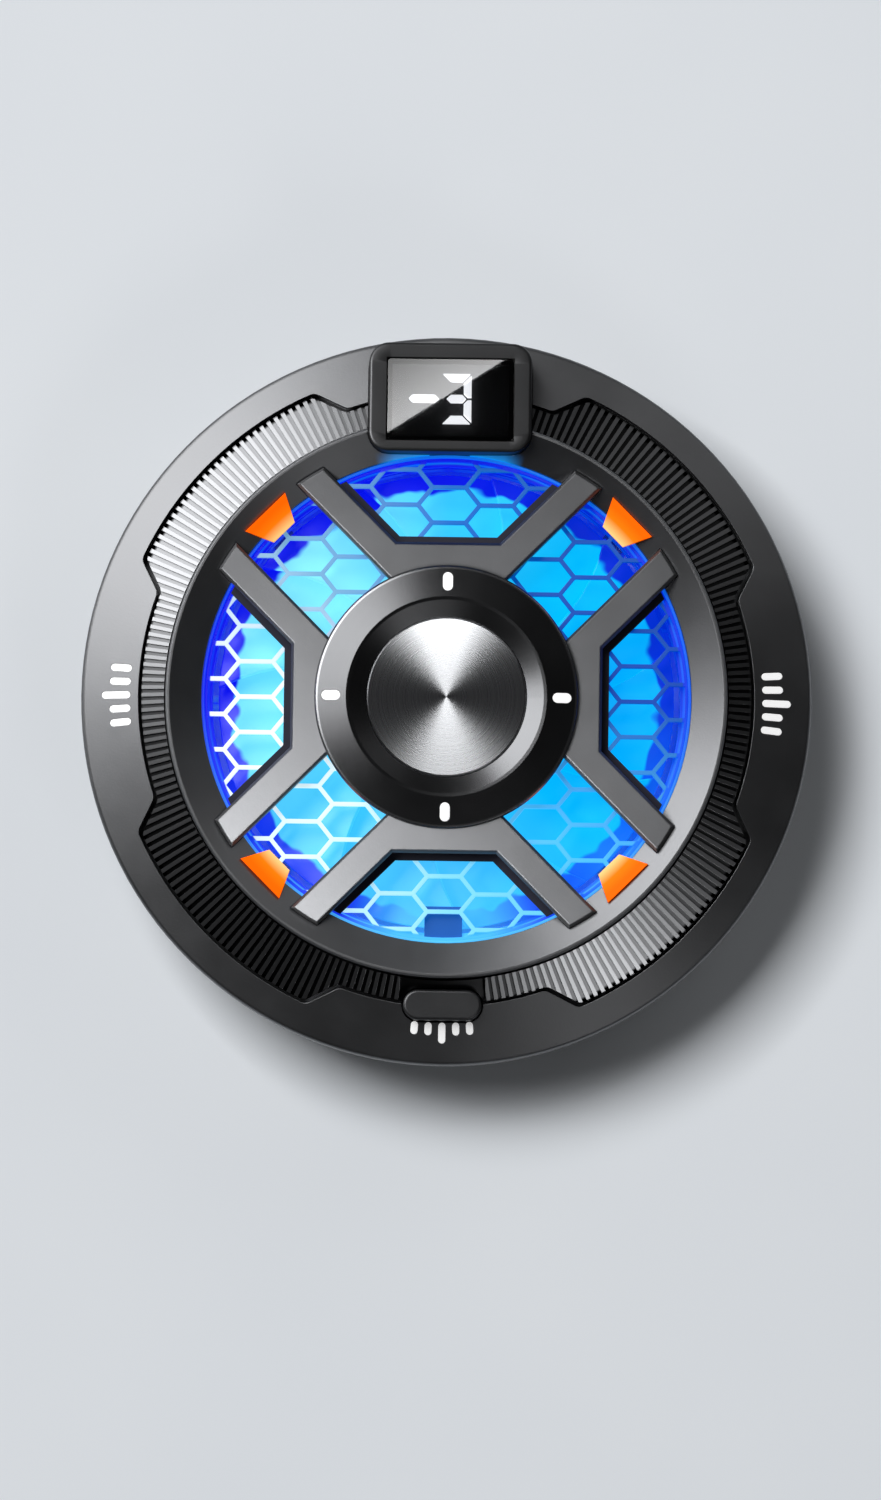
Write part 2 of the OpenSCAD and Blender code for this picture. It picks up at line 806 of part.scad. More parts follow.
module stator_windings() {
    t = 0.5;
    color("#b5651d") for (i = [0:pole_count - 1]) rotate([0, 0, i * 360 / pole_count]) difference() {
        block([core_r + gap, -pole_w / 2 - t, z_stator - coil_over],
              [stator_r - shoe_t - gap, pole_w / 2 + t, z_stator + stator_h + coil_over]);
        block([core_r - cut, -pole_w / 2, z_stator], [stator_r, pole_w / 2, z_stator + stator_h]);
    }
}

fan_lead_d = 0.7;
fan_lead_bend = 1;

module fan_leads() {
    middle = (board_ri + board_ro) / 2;
    r = fan_lead_d / 2 + fit;
    color("#d8d8d8") rotate([0, 0, lead_angle]) for (s = [-1, 1])
        lead(motor_plate_r, middle, s * r, z_base + r, fan_lead_d, fan_lead_bend);
}

module shaft() {
    color("#d5d8db") pin(shaft_r, z_motor + thrust_t + fit, z_blade_top - room);
}

module rotor_yoke() {
    color("#8a8d91") turn([
        [shaft_r + fit, z_yoke],
        [yoke_ri, z_yoke],
        [yoke_ri, z_rotor],
        [yoke_ro, z_rotor],
        [yoke_ro, z_hub_plate],
        [shaft_r + fit, z_hub_plate]
    ]);
}

module rotor_magnet() {
    color("#3b3d40") ring(rotor_ri, rotor_ro, z_rotor, z_yoke);
}

// Outline of one blade in plan. Its edges sweep forward to the tip.
function blade_plan() =
    let (
        steps = 6,
        root_r = fan_hub_ro - fan_hub_wall / 2,
        reach = [for (i = [0:steps]) root_r + (tip_r - root_r) * i / steps],
        lead = [for (i = [0:steps]) blade_sweep * pow(i / steps, 1.5)]
    )
    concat(
        [for (i = [0:steps]) polar(reach[i], lead[i])],
        [for (i = [1:steps - 1]) polar(tip_r, blade_sweep - blade_span * i / steps)],
        [for (i = [steps:-1:0]) polar(reach[i], lead[i] - blade_span)],
        [for (i = [steps - 1:-1:1]) polar(root_r, -blade_span * i / steps)]
    );

// One blade: its outline cut out of a sheet that rises to the leading edge.
module blade() {
    middle = (blade_sweep - blade_span) / 2;
    plan = blade_plan();
    half = max([for (p = plan) abs(p[1] * cos(middle) - p[0] * sin(middle))]);
    slope = (blade_h - blade_t) / (2 * half);
    w = half + cut;
    z = z_blade + blade_h / 2;
    intersection() {
        translate([0, 0, z_blade - cut]) linear_extrude(blade_h + 2 * cut) polygon(plan);
        rotate([0, 0, middle]) rotate([90, 0, 90]) linear_extrude(tip_r + cut)
            polygon([
                [-w, z - w * slope - blade_t / 2],
                [w, z + w * slope - blade_t / 2],
                [w, z + w * slope + blade_t / 2],
                [-w, z - w * slope + blade_t / 2]
            ]);
    }
}

module impeller() {
    color("#59c8f5") union() {
        turn([
            [shaft_r, z_hub_plate],
            [fan_hub_ri, z_hub_plate],
            [fan_hub_ri, z_rotor],
            [fan_hub_ro, z_rotor],
            [fan_hub_ro, z_blade_top],
            [shaft_r, z_blade_top]
        ]);
        for (i = [0:blade_count - 1]) rotate([0, 0, i * 360 / blade_count]) blade();
    }
}

module fan_duct() {
    color("#1c56d8") union() {
        ring(duct_ri, duct_ro, z_fins, z_duct_top);
        for (a = duct_foot_angles) {
            at(foot_pos, a) pin(foot_r, z_base, z_fins + root);
            at(foot_pos, a) pin(foot_pin_r, z_sink + room, z_base + root);
        }
    }
}

// Light

module light_board() {
    color("#e9edf0") ring(duct_ri + gap, light_ro, z_duct_top, z_light);
}

module lamps() {
    color("#f6f4d0") for (i = [0:led_count - 1])
        at(led_pos - led_size[0] / 2, (i + 0.5) * 360 / led_count)
            block([0, -led_size[1] / 2, z_light], [led_size[0], led_size[1] / 2, z_light + led_h]);
}

module light_guide() {
    color("#6fc4ff") turn([
        [duct_ri, z_light],
        [lip_ro, z_light],
        [lip_ro, z_guide],
        [bezel_wall_ri - gap, z_guide],
        [bezel_wall_ri - gap, z_guide_top],
        [lip_ro, z_guide_top],
        [lip_ro, z_guard],
        [lip_ri, z_guard],
        [lip_ri, z_grille],
        [duct_ri, z_grille]
    ]);
}

clip_w = 3.4;
clip_l = 2.8;

// A clip over the lamps' wires, held between the light guide and the grille.
module wire_clip() {
    ro = grille_rim_r - fit;
    color("#1450b4") intersection() {
        block([-clip_w / 2, -ro, z_grille], [clip_w / 2, clip_l - ro, z_grille + room - fit]);
        ring(0, ro, 0, z_display);
    }
}

// Grille and guard

// One cell of the honeycomb: a hexagon drawn in by half a wall.
function cell() =
    let (
        flat = cell_col - cell_slant,
        across = norm([cell_slant, cell_row / 2]),
        inset = cell_wall / 2,
        tip = flat / 2 + cell_slant - inset * across / (cell_row / 2),
        y = cell_row / 2 - inset,
        x = tip - y * cell_slant / (cell_row / 2)
    )
    [[tip, 0], [x, y], [-x, y], [-tip, 0], [-x, -y], [x, -y]];

module honeycomb_grille() {
    inner = hub_r - 3 * room;
    cols = ceil(grille_r / cell_col);
    rows = ceil(grille_r / cell_row);
    function cell_at(i, j) = [i * cell_col, (j + (i % 2 == 0 ? 0.5 : 0)) * cell_row];
    color("#8fd8ff") union() {
        ring(grille_rim_r, grille_r, z_grille, z_carrier);
        ring(0, inner, z_grille + room, z_carrier);
        difference() {
            ring(inner - root, grille_rim_r + gap, z_grille + room, z_carrier);
            for (i = [-cols:cols]) for (j = [-rows - 1:rows])
                let (c = cell_at(i, j))
                if (norm(c) < grille_r + cell_row && norm(c) > inner - cell_row)
                    translate([c[0], c[1], z_grille]) linear_extrude(grille_t + cut) polygon(cell());
        }
    }
}

// A bar along X whose section lies between two distances from the axis.
module bar(u0, u1, x0, x1, z0, z1, c) {
    translate([x0, 0, 0]) rotate([90, 0, 90]) linear_extrude(x1 - x0)
        polygon([[u0, z0], [u1, z0], [u1, z1 - c], [u1 - c, z1], [u0 + c, z1], [u0, z1 - c]]);
}

// The four pairs of parallel bars, grown sideways by a clearance.
module bar_pairs(u0, u1, x0, x1, z0, z1, c) {
    for (a = [45:90:315]) rotate([0, 0, a]) {
        bar(u0, u1, x0, x1, z0, z1, c);
        bar(-u1, -u0, x0, x1, z0, z1, c);
    }
}

// The straight edges of the guard on its four sides.
module edge_bars(x1, half, z0, z1, c) {
    for (a = [0:90:270]) rotate([0, 0, a]) rotate([90, 0, 0])
        linear_extrude(2 * half, center = true)
            polygon([[bar_start_r, z0], [x1, z0], [x1, z1 - c], [x1 - c, z1], [bar_start_r, z1]]);
}

bar_root = 4;
bar_start_r = hub_r - bar_root;
bar_out = bar_slot_half + bar_w;
window_half = window_edge - bar_out * sqrt(2);
spigot_r = 4;

module grille_carrier() {
    z0 = z_carrier;
    z1 = z_guard;
    color("#0b1030") intersection() {
        union() {
            bar_pairs(bar_slot_half + gap, bar_out + carrier_show, bar_start_r, grille_r + cut, z0, z1, e);
            edge_bars(window_edge + carrier_show, window_half + room, z0, z1, e);
            ring(0, hub_r - room, z0, z1);
        }
        ring(0, grille_r - gap, z0 - cut, z1 + cut);
    }
}

module guard_frame() {
    z0 = z_guard;
    z1 = z_guard_top;
    color("#4a4d50") difference() {
        intersection() {
            union() {
                bar_pairs(bar_slot_half, bar_out, bar_start_r, bar_end_r + cut, z0, z1, bar_chamfer);
                edge_bars(window_edge, window_half + room, z0, z1, bar_chamfer);
                ring(0, hub_r - room, z0, z1);
            }
            turn([
                [0, z0 - cut],
                [bar_end_r, z0 - cut],
                [bar_end_r, z1 - bar_chamfer],
                [bar_end_r - bar_chamfer, z1],
                [bar_end_r - bar_chamfer, z1 + cut],
                [0, z1 + cut]
            ]);
        }
        pin(spigot_r + fit, z0 - cut, z1 + cut);
    }
}

// Front rings

module bezel_ring() {
    foot_h = 0.8;
    edge = 0.15;
    color("#33363a") difference() {
        turn([
            [opening_r, z_guide_top],
            [opening_r, z_open],
            [bezel_ro - rim_flat, z_rim],
            [bezel_ro - edge, z_rim],
            [bezel_ro, z_rim - edge],
            [bezel_ro, z_board + foot_h],
            [bezel_ro + bezel_foot_w, z_board + foot_h],
            [bezel_ro + bezel_foot_w, z_board],
            [bezel_wall_ri, z_board],
            [bezel_wall_ri, z_guide_top]
        ]);
        intersection() {
            bar_pairs(bar_slot_half - fit, bar_out + fit, duct_ri - cut, bezel_ro, z_guard, z_display, e);
            pin(bar_end_r + fit, z_guard - cut, z_display + cut);
        }
        for (a = screw_angles) rotate([0, 0, a]) tab(z_rim + cut);
        display_hole();
        switch_bay();
    }
}

tab_ro = bezel_ro - tab_inset;
tab_ri = tab_ro - tab_l;
z_tab = z_guard + room / 2;

// An accent tab: a wedge in plan, up to a given height.
module tab(z1) {
    translate([0, 0, z_tab]) linear_extrude(z1 - z_tab)
        polygon([
            [tab_ri, -tab_w_in / 2],
            [tab_ro, -tab_w_out / 2],
            [tab_ro, tab_w_out / 2],
            [tab_ri, tab_w_in / 2]
        ]);
}

module accent_tabs() {
    proud = 0.3;
    inner_h = 0.45;
    color("#ff7a14") for (a = screw_angles) rotate([0, 0, a]) intersection() {
        tab(z_rim);
        rotate([90, 0, 0]) linear_extrude(2 * tab_w_out, center = true)
            polygon([
                [tab_ri - cut, z_tab - cut],
                [tab_ro + cut, z_tab - cut],
                [tab_ro + cut, funnel_top(tab_ro) + proud],
                [tab_ro, funnel_top(tab_ro) + proud],
                [tab_ri, z_tab + inner_h],
                [tab_ri - cut, z_tab + inner_h]
            ]);
    }
}

// One polygon with a tooth over each groove between two ribs.
function grooves() =
    let (step = 360 / rib_count, half = step / 4, ri = rib_ri - gap / 2, ro = lobe_r + cut)
    [
        for (i = [0:rib_count - 1])
            let (a = (i + 0.5) * step)
            each [polar(ri, a - half), polar(ro, a - half), polar(ro, a + half), polar(ri, a + half)]
    ];

module ribbed_ring() {
    z0 = rib_seat(lobe_r) - cut;
    h = z_display - z0;
    bay = button_l / 2 + room;
    color("#5d6165") difference() {
        intersection() {
            translate([0, 0, z0]) linear_extrude(h) polygon(lobed(seam));
            turn([
                [rib_ri, rib_seat(rib_ri)],
                [lobe_r, rib_seat(lobe_r)],
                [lobe_r, rib_top(lobe_r)],
                [rib_ri, rib_top(rib_ri)]
            ]);
        }
        intersection() {
            translate([0, 0, z0]) linear_extrude(h) polygon(grooves());
            above_ribs(rib_h);
        }
        intersection() {
            block([-bay, -lobe_r - cut, z0], [bay, 0, z_display]);
            above_ribs(2 * rib_h);
        }
        display_hole();
        button_hole(gap, z0);
    }
}

cover_edge = 0.5;

module front_cover() {
    foot = 0.2;
    cover_lip_ro = shell_ri - gap;
    cover_lip_ri = cover_lip_ro - cover_lip_t;
    edge_middle = [cover_r - cover_edge, cover_top(cover_r - cover_edge) - cover_edge / cos(cover_slope)];
    edge_arc = [for (p = arc(cover_edge, 90 - cover_slope, 0, 5)) edge_middle + p];
    color("#6a6e72") difference() {
        union() {
            difference() {
                turn(concat(
                    [
                        [rib_ri, cover_under(rib_ri)],
                        [rib_ri, cover_top(rib_ri)]
                    ],
                    edge_arc,
                    [
                        [cover_r, z_joint + foot],
                        [cover_r - foot, z_joint],
                        [cover_lip_ro, z_joint],
                        [cover_lip_ro, z_board],
                        [cover_lip_ri, z_board],
                        [cover_lip_ri, cover_under(cover_lip_ri)]
                    ]
                ));
                intersection() {
                    translate([0, 0, z_board]) linear_extrude(z_display - z_board) polygon(lobed(0));
                    above_ribs(rib_ring_t);
                }
            }
            intersection() {
                for (a = screw_angles) at(boss_pos, a) pin(pillar_r, z_boss, rib_seat(boss_pos) - seat_t / 2);
                ring(0, cover_lip_ro, 0, z_display);
            }
        }
        for (a = screw_angles)
            at(boss_pos, a) pin(case_screw_d / 2 + fit, z_boss - cut, z_board_under + room);
        intersection() {
            mark_plan();
            above(narrow_r, cover_top(narrow_r) - mark_depth, mark_end_r, cover_top(mark_end_r) - mark_depth);
        }
        display_hole();
        pin_slot();
        button_hole(gap, z_board);
        button_bay();
    }
}

// Marks: bars with round ends in a thin skin of a sloping face.

module mark_group(middle, r, l) {
    for (i = [-2:2])
        at(r, middle + i * mark_step) linear_extrude(z_display)
            polygon(pill(l + (i == 0 ? mark_extra : 0), mark_w));
}

module mark_plan() {
    inset = 0.7;
    side_r = narrow_r + inset;
    low_r = button_pos + button_w / 2 + gap;
    for (a = [0, 180]) mark_group(a, side_r, mark_l);
    mark_group(270, low_r, low_mark_l);
}

mark_end_r = cover_r - cover_edge;

module flange_marks() {
    color("white") intersection() {
        mark_plan();
        turn([
            [narrow_r, cover_top(narrow_r) - mark_depth],
            [mark_end_r, cover_top(mark_end_r) - mark_depth],
            [mark_end_r, cover_top(mark_end_r)],
            [narrow_r, cover_top(narrow_r)]
        ]);
    }
}

// Hub

ridge_r = hub_ridge_d / 2;
badge_r = badge_d / 2;
z_hub_edge = z_guard_top + hub_edge_h;
z_ridge = z_hub_edge + hub_rise;
z_groove = z_ridge - hub_groove;
badge_proud = 0.1;
z_badge = z_groove - badge_t + badge_proud;

// Height of the hub cap's outer slope.
function hub_slope_z(r) = z_hub_edge + (hub_r - r) * hub_rise / (hub_r - ridge_r);

module hub_cap() {
    edge = 0.15;
    color("#2b2e31") difference() {
        turn([
            [0, z_guard],
            [spigot_r, z_guard],
            [spigot_r, z_guard_top],
            [hub_r, z_guard_top],
            [hub_r, z_hub_edge - edge],
            [hub_r - edge, hub_slope_z(hub_r - edge)],
            [ridge_r + edge, hub_slope_z(ridge_r + edge)],
            [ridge_r - edge, z_ridge - edge / 2],
            [badge_r + fit, z_groove],
            [badge_r + fit, z_badge],
            [0, z_badge]
        ]);
        hub_marks();
    }
}

module hub_badge() {
    edge = 0.15;
    dish = 0.15;
    color("#d9dcdf") turn([
        [0, z_badge],
        [badge_r, z_badge],
        [badge_r, z_badge + badge_t - edge],
        [badge_r - edge, z_badge + badge_t],
        [0, z_badge + badge_t - dish]
    ]);
}

module hub_marks() {
    middle = (hub_r + ridge_r) / 2;
    skin = mark_depth / 2;
    inset = 0.2;
    ri = ridge_r + inset;
    ro = hub_r - inset;
    color("white") intersection() {
        for (a = [0:90:270]) at(middle - hub_mark_l / 2, a)
            linear_extrude(z_display + cut) polygon(pill(hub_mark_l, hub_mark_w));
        turn([
            [ri, hub_slope_z(ri) - skin],
            [ro, hub_slope_z(ro) - skin],
            [ro, hub_slope_z(ro)],
            [ri, hub_slope_z(ri)]
        ]);
    }
}

// Display

display_y0 = opening_r;
display_y = display_y0 + display_l / 2;
display_step_y = rib_ri;
window_drop = 0.2;
window_y = display_y - window_drop;
tray_depth = 3;
tray_floor_t = 1.2;
z_tray = z_display - tray_depth;
z_tray_floor = z_tray + tray_floor_t;
z_glass = z_display - glass_sink - glass_t;
pin_shift = 0.8;
pin_y = display_y + pin_shift;
pin_count = 6;
pin_step = 1.2;
pin_slot_half = 0.6;

// The space that the display frame takes, grown by a clearance.
module display_space(grow, z1) {
    intersection() {
        translate([0, display_y, 0]) linear_extrude(z1)
            polygon(rounded_rect(display_w + 2 * grow, display_l + 2 * grow, display_corner + grow));
        union() {
            block([-display_w, display_step_y - grow, z_edge], [display_w, cover_r + cut, z1]);
            block([-display_w, 0, z_guide_top + fit - grow], [display_w, display_step_y, z1]);
        }
    }
}

module display_hole() {
    display_space(gap / 2, z_display + cut);
}

module pin_slot() {
    half = pin_step * pin_count / 2;
    block([-half, pin_y - pin_slot_half, z_board - cut], [half, pin_y + pin_slot_half, z_tray + e]);
}

// The outline of a block from the phone up to the display, with its top corners cut off.
function chamfered(half, c) = [
    [-half, 0],
    [half, 0],
    [half, z_display - c],
    [half - c, z_display],
    [c - half, z_display],
    [-half, z_display - c]
];

module display_frame() {
    edge = 0.35;
    color("#2f3134") difference() {
        intersection() {
            display_space(0, z_display);
            translate([0, display_y, 0]) rotate([90, 0, 90]) linear_extrude(2 * display_w, center = true)
                polygon(chamfered(display_l / 2, edge));
            rotate([90, 0, 0]) linear_extrude(3 * cover_r, center = true)
                polygon(chamfered(display_w / 2, edge));
        }
        translate([0, window_y, z_tray]) linear_extrude(z_display)
            square([window_w, window_l], center = true);
        pin_slot();
    }
}

module display_tray() {
    w = window_w / 2 - fit;
    l = window_l / 2 - fit;
    wall = 0.4;
    color("#101214") translate([0, window_y, 0]) difference() {
        block([-w, -l, z_tray], [w, l, z_glass]);
        block([wall - w, wall - l, z_tray_floor], [w - wall, l - wall, z_glass + cut]);
    }
}

// A lit stroke as deep as the tray.
module stroke(points) {
    linear_extrude(z_glass - z_tray_floor - fit) polygon(points);
}

// The middle stroke: a bar along X with pointed ends.
module middle_stroke(l) {
    h = stroke_w / 2;
    stroke([[l / 2, 0], [l / 2 - h, h], [h - l / 2, h], [-l / 2, 0], [h - l / 2, -h], [l / 2 - h, -h]]);
}

// The upper half of the number on the display. Its strokes meet at mitred corners.
module upper_strokes() {
    w = digit_w / 2;
    h = digit_h / 2;
    s = stroke_w;
    g = stroke_gap;
    stroke([[g - w, h], [w - g, h], [w - s - g, h - s], [s + g - w, h - s]]);
    stroke([[w, h - g], [w, g], [w - s / 2, g], [w - s, s / 2 + g], [w - s, h - s - g]]);
}

module display_digits() {
    digit_x = 0.55;
    minus_x = -2.4;
    lift = 0.15;
    color("white") translate([0, window_y + lift, z_tray_floor]) {
        translate([minus_x, 0, 0]) middle_stroke(digit_w);
        translate([digit_x, 0, 0]) {
            middle_stroke(digit_w - stroke_w - 2 * stroke_gap);
            upper_strokes();
            mirror([0, 1, 0]) upper_strokes();
        }
    }
}

module display_glass() {
    w = window_w / 2 - fit;
    l = window_l / 2 - fit;
    color("#15181b") translate([0, window_y, 0])
        block([-w, -l, z_glass], [w, l, z_glass + glass_t]);
}

module display_pins() {
    s = 0.25;
    color("#c8a850") for (i = [0:pin_count - 1])
        translate([(i - (pin_count - 1) / 2) * pin_step, pin_y, 0])
            block([-s, -s, z_board], [s, s, z_tray]);
}

// Boards

module main_board() {
    color("#1d4f33") difference() {
        ring(board_ri, board_ro, z_board_under, z_board);
        for (a = screw_angles) at(boss_pos, a) pin(pillar_r + gap, z_board_under - cut, z_board + cut);
    }
}

// A part on the main board, at an angle round it.
module on_board(a, size) {
    at(chip_pos, a) translate([-size[0] / 2, -size[1] / 2, z_board]) cube(size);
}

chip_side = 3;
chip_t = 0.8;
coil_side = 2.4;
coil_t = 1;
capacitor_size = [0.8, 1.6, 0.6];

module control_chip() {
    color("#17191b") on_board(180, [chip_side, chip_side, chip_t]);
}

module board_parts() {
    beside = 10;
    color("#8b7355") {
        on_board(0, [coil_side, coil_side, coil_t]);
        for (a = [beside, 180 - beside, 180 + beside, -beside]) on_board(a, capacitor_size);
    }
}

// Button and switch

// A pill in plan whose middle lies on the button's place.
module button_pill(grow, z0, z1) {
    l = button_l + 2 * grow;
    w = button_w + 2 * grow;
    translate([-l / 2, -button_pos, z0]) linear_extrude(z1 - z0) polygon(pill(l, w));
}

module button_hole(grow, z0) {
    button_pill(grow, z0, z_display + cut);
}

// Room for the button's lip under the cover.
module button_bay() {
    button_pill(button_lip_w + gap, z_board - cut, z_stop);
}

module button_cap() {
    round_r = 0.4;
    ease = round_r * 0.3;
    z_round = z_button - round_r;
    color("#3d4043") union() {
        button_pill(button_lip_w, z_button_lip, z_button_lip + button_lip_t);
        button_pill(0, z_button_lip + button_lip_t - root, z_round);
        hull() {
            button_pill(0, z_round - root, z_round);
            button_pill(-ease, z_round, z_button - ease);
            button_pill(-round_r, z_round, z_button);
        }
    }
}

switch_size = [3, button_w - 2 * gap];

module switch_bay() {
    w = switch_size[0] / 2 + gap;
    block([-w, -button_pos - button_w, z_board - cut], [w, -bezel_ro - fit, z_switch]);
}

module tact_switch() {
    w = switch_size[0] / 2;
    l = switch_size[1] / 2;
    color("#b4b7ba") translate([0, -button_pos, 0]) difference() {
        block([-w, -l, z_board], [w, l, z_switch]);
        pin(plunger_d / 2 + fit, z_switch - plunger_sink - button_travel - fit, z_switch + cut);
    }
}

module switch_plunger() {
    color("#1a1b1d") translate([0, -button_pos, 0])
        pin(plunger_d / 2, z_switch - plunger_sink, z_button_lip);
}

// Power socket

// The outline of the socket, grown by a clearance, between two distances along -Y.
module socket_body(grow, y0, y1) {
    w = usb_w + 2 * grow;
    h = usb_h + 2 * grow;
    translate([-w / 2, -y0, usb_z]) rotate([90, 0, 0]) linear_extrude(y1 - y0) polygon(pill(w, h));
}

module power_socket() {
    color("#c4c8cc") difference() {
        socket_body(0, usb_front - usb_depth, usb_front);
        socket_body(-usb_sheet, usb_front - usb_depth - cut, usb_front + cut);
    }
}

module socket_tongue() {
    back = usb_front - usb_depth;
    base_l = 1.6;
    tongue_l = 6;
    tongue_w = 6.7;
    tongue_t = 0.7;
    color("#18191b") union() {
        socket_body(-usb_sheet - fit, back, back + base_l);
        block([-tongue_w / 2, -back - tongue_l, usb_z - tongue_t / 2],
              [tongue_w / 2, root - back - base_l, usb_z + tongue_t / 2]);
    }
}

module case_screws() {
    color("#8d9196") for (a = screw_angles)
        at(boss_pos, a) translate([0, 0, z_case_head + screw_head_h])
            screw(case_screw_d, case_head_d, screw_head_h, case_screw_l, false);
}

rear_shell();
grip_pad();
magnet_ring();
magnet_shield();
cold_plate();
tec_cold_ceramic();
tec_pellets();
tec_hot_ceramic();
tec_leads();
foam_gasket();
temp_sensor();
heat_sink();
sink_screws();
motor_base();
motor_board();
thrust_pad();
bearing_bush();
stator_core();
stator_windings();
fan_leads();
shaft();
rotor_yoke();
rotor_magnet();
impeller();
fan_duct();
light_board();
lamps();
light_guide();
wire_clip();
honeycomb_grille();
grille_carrier();
guard_frame();
bezel_ring();
accent_tabs();
ribbed_ring();
front_cover();
flange_marks();
hub_cap();
hub_badge();
hub_marks();
display_frame();
display_tray();
display_digits();
display_glass();
display_pins();
main_board();
control_chip();
board_parts();
tact_switch();
button_cap();
switch_plunger();
power_socket();
socket_tongue();
case_screws();
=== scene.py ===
# %% [markdown]
# # A round magnetic cooling fan
#
# This lesson dresses a cooling fan: a graphite case the size of a jar lid, a guard with four pairs of
# bars, a blue honeycomb lit from behind, a small display and a push button. The solid pieces come in
# as a fixed frame. Here they get their finish, and the pieces with soft or rounded forms are modelled
# again.
#
# First the frame is loaded, and the box that it fills is kept, because nothing may grow past it.

# %% Load the frame
import json
import math

import bpy
from mathutils import Matrix, Vector


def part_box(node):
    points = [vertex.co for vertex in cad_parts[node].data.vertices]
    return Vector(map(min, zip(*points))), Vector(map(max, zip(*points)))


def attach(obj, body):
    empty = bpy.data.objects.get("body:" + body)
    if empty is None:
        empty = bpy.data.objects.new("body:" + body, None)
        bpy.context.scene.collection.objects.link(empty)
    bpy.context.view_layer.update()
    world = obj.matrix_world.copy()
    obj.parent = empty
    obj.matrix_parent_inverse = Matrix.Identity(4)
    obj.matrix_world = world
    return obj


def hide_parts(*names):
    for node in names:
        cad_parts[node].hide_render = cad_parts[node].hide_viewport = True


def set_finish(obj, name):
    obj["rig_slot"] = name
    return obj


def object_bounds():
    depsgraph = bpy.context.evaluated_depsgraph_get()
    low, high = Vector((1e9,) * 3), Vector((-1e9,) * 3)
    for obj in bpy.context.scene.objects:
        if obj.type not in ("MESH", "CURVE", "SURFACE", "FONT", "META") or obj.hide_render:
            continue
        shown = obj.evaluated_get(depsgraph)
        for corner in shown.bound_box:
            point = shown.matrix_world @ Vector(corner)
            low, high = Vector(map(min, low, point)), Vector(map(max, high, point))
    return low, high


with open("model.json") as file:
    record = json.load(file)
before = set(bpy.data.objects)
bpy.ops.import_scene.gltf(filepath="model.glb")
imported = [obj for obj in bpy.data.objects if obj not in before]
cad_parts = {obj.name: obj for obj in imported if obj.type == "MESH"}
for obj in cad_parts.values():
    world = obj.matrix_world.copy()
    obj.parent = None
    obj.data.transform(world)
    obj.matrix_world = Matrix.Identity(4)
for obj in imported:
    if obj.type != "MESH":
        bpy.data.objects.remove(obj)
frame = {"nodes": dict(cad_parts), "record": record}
NODES = frame["nodes"]
cad_low, cad_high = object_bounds()
MM = 0.001
print("nodes:", len(NODES), "box in mm:", [round(x / MM, 2) for x in cad_high - cad_low])

# %% [markdown]
# ## The camera
#
# The fan is seen almost straight on, from a little below the display, and turned by less than one
# degree. A camera can be aimed with a constraint, or its matrix can be written out. The matrix is used
# here: its three columns are the camera's right, up and back, so the small roll is easy to add. The fan
# is moved off the middle of the picture by sliding the camera sideways, which keeps the lens centred.

# %% Place the camera
PICTURE_W, PICTURE_H = 881, 1500
FAN_CENTRE_PX = (446.3, 700.4)
PX_PER_MM = 11.07
ELEVATION = math.radians(85.6)
ROLL = math.radians(0.78)
DISTANCE = 0.9
SENSOR = 36
AIM_HEIGHT = 0.75

face_centre = Vector((0, 0, AIM_HEIGHT * cad_high.z))
back = Vector((0, -math.cos(ELEVATION), math.sin(ELEVATION)))
right = Vector((1, 0, 0))
up = back.cross(right)
right, up = right * math.cos(ROLL) + up * math.sin(ROLL), up * math.cos(ROLL) - right * math.sin(ROLL)
metres_per_px = MM / PX_PER_MM
slide = (
    right * (PICTURE_W / 2 - FAN_CENTRE_PX[0]) * metres_per_px
    + up * (FAN_CENTRE_PX[1] - PICTURE_H / 2) * metres_per_px
)
camera = bpy.data.objects.new("camera", bpy.data.cameras.new("camera"))
bpy.context.scene.collection.objects.link(camera)
camera.matrix_world = Matrix.Translation(face_centre + back * DISTANCE + slide) @ Matrix(
    (right, up, back)
).transposed().to_4x4()
camera.data.sensor_width = SENSOR
camera.data.lens = SENSOR * DISTANCE / (PICTURE_H * metres_per_px)
camera.data.clip_start = 0.01
bpy.context.scene.camera = camera
bpy.context.scene.view_settings.view_transform = "Standard"
print("lens in mm:", round(camera.data.lens, 1))

# %% [markdown]
# ## Tools for modelling
#
# Most sizes below are read off the solids that a piece replaces or fits into, so that they always agree.
# They could be written down again as numbers, but then a changed solid would no longer fit.

# %% Measure the solids
HAIR = 0.001 * MM
SAME = 20 * HAIR


def points_of(name):
    return [point.co for point in NODES[name].data.vertices]


def radii_of(name):
    reach = [math.hypot(p.x, p.y) for p in points_of(name)]
    return min(reach), max(reach)


def near(a, b):
    return abs(a - b) < SAME


print("fan radius in mm:", round(radii_of("front_cover")[1] / MM, 2))

# %% [markdown]
# Every piece starts as a primitive and is shaped in edit mode. The operators work on what is selected. By
# hand that is a click. In code it is a test on the place of each point, edge or face, which gives the same
# choice every time.

# %% Start a piece and select in it


def begin(name):
    """Names the primitive that was just added, applies its place and opens it in edit mode."""
    piece = bpy.context.active_object
    piece.name = name
    piece.data.name = name
    bpy.ops.object.transform_apply(location=True, rotation=True, scale=True)
    bpy.ops.object.mode_set(mode="EDIT")
    return piece


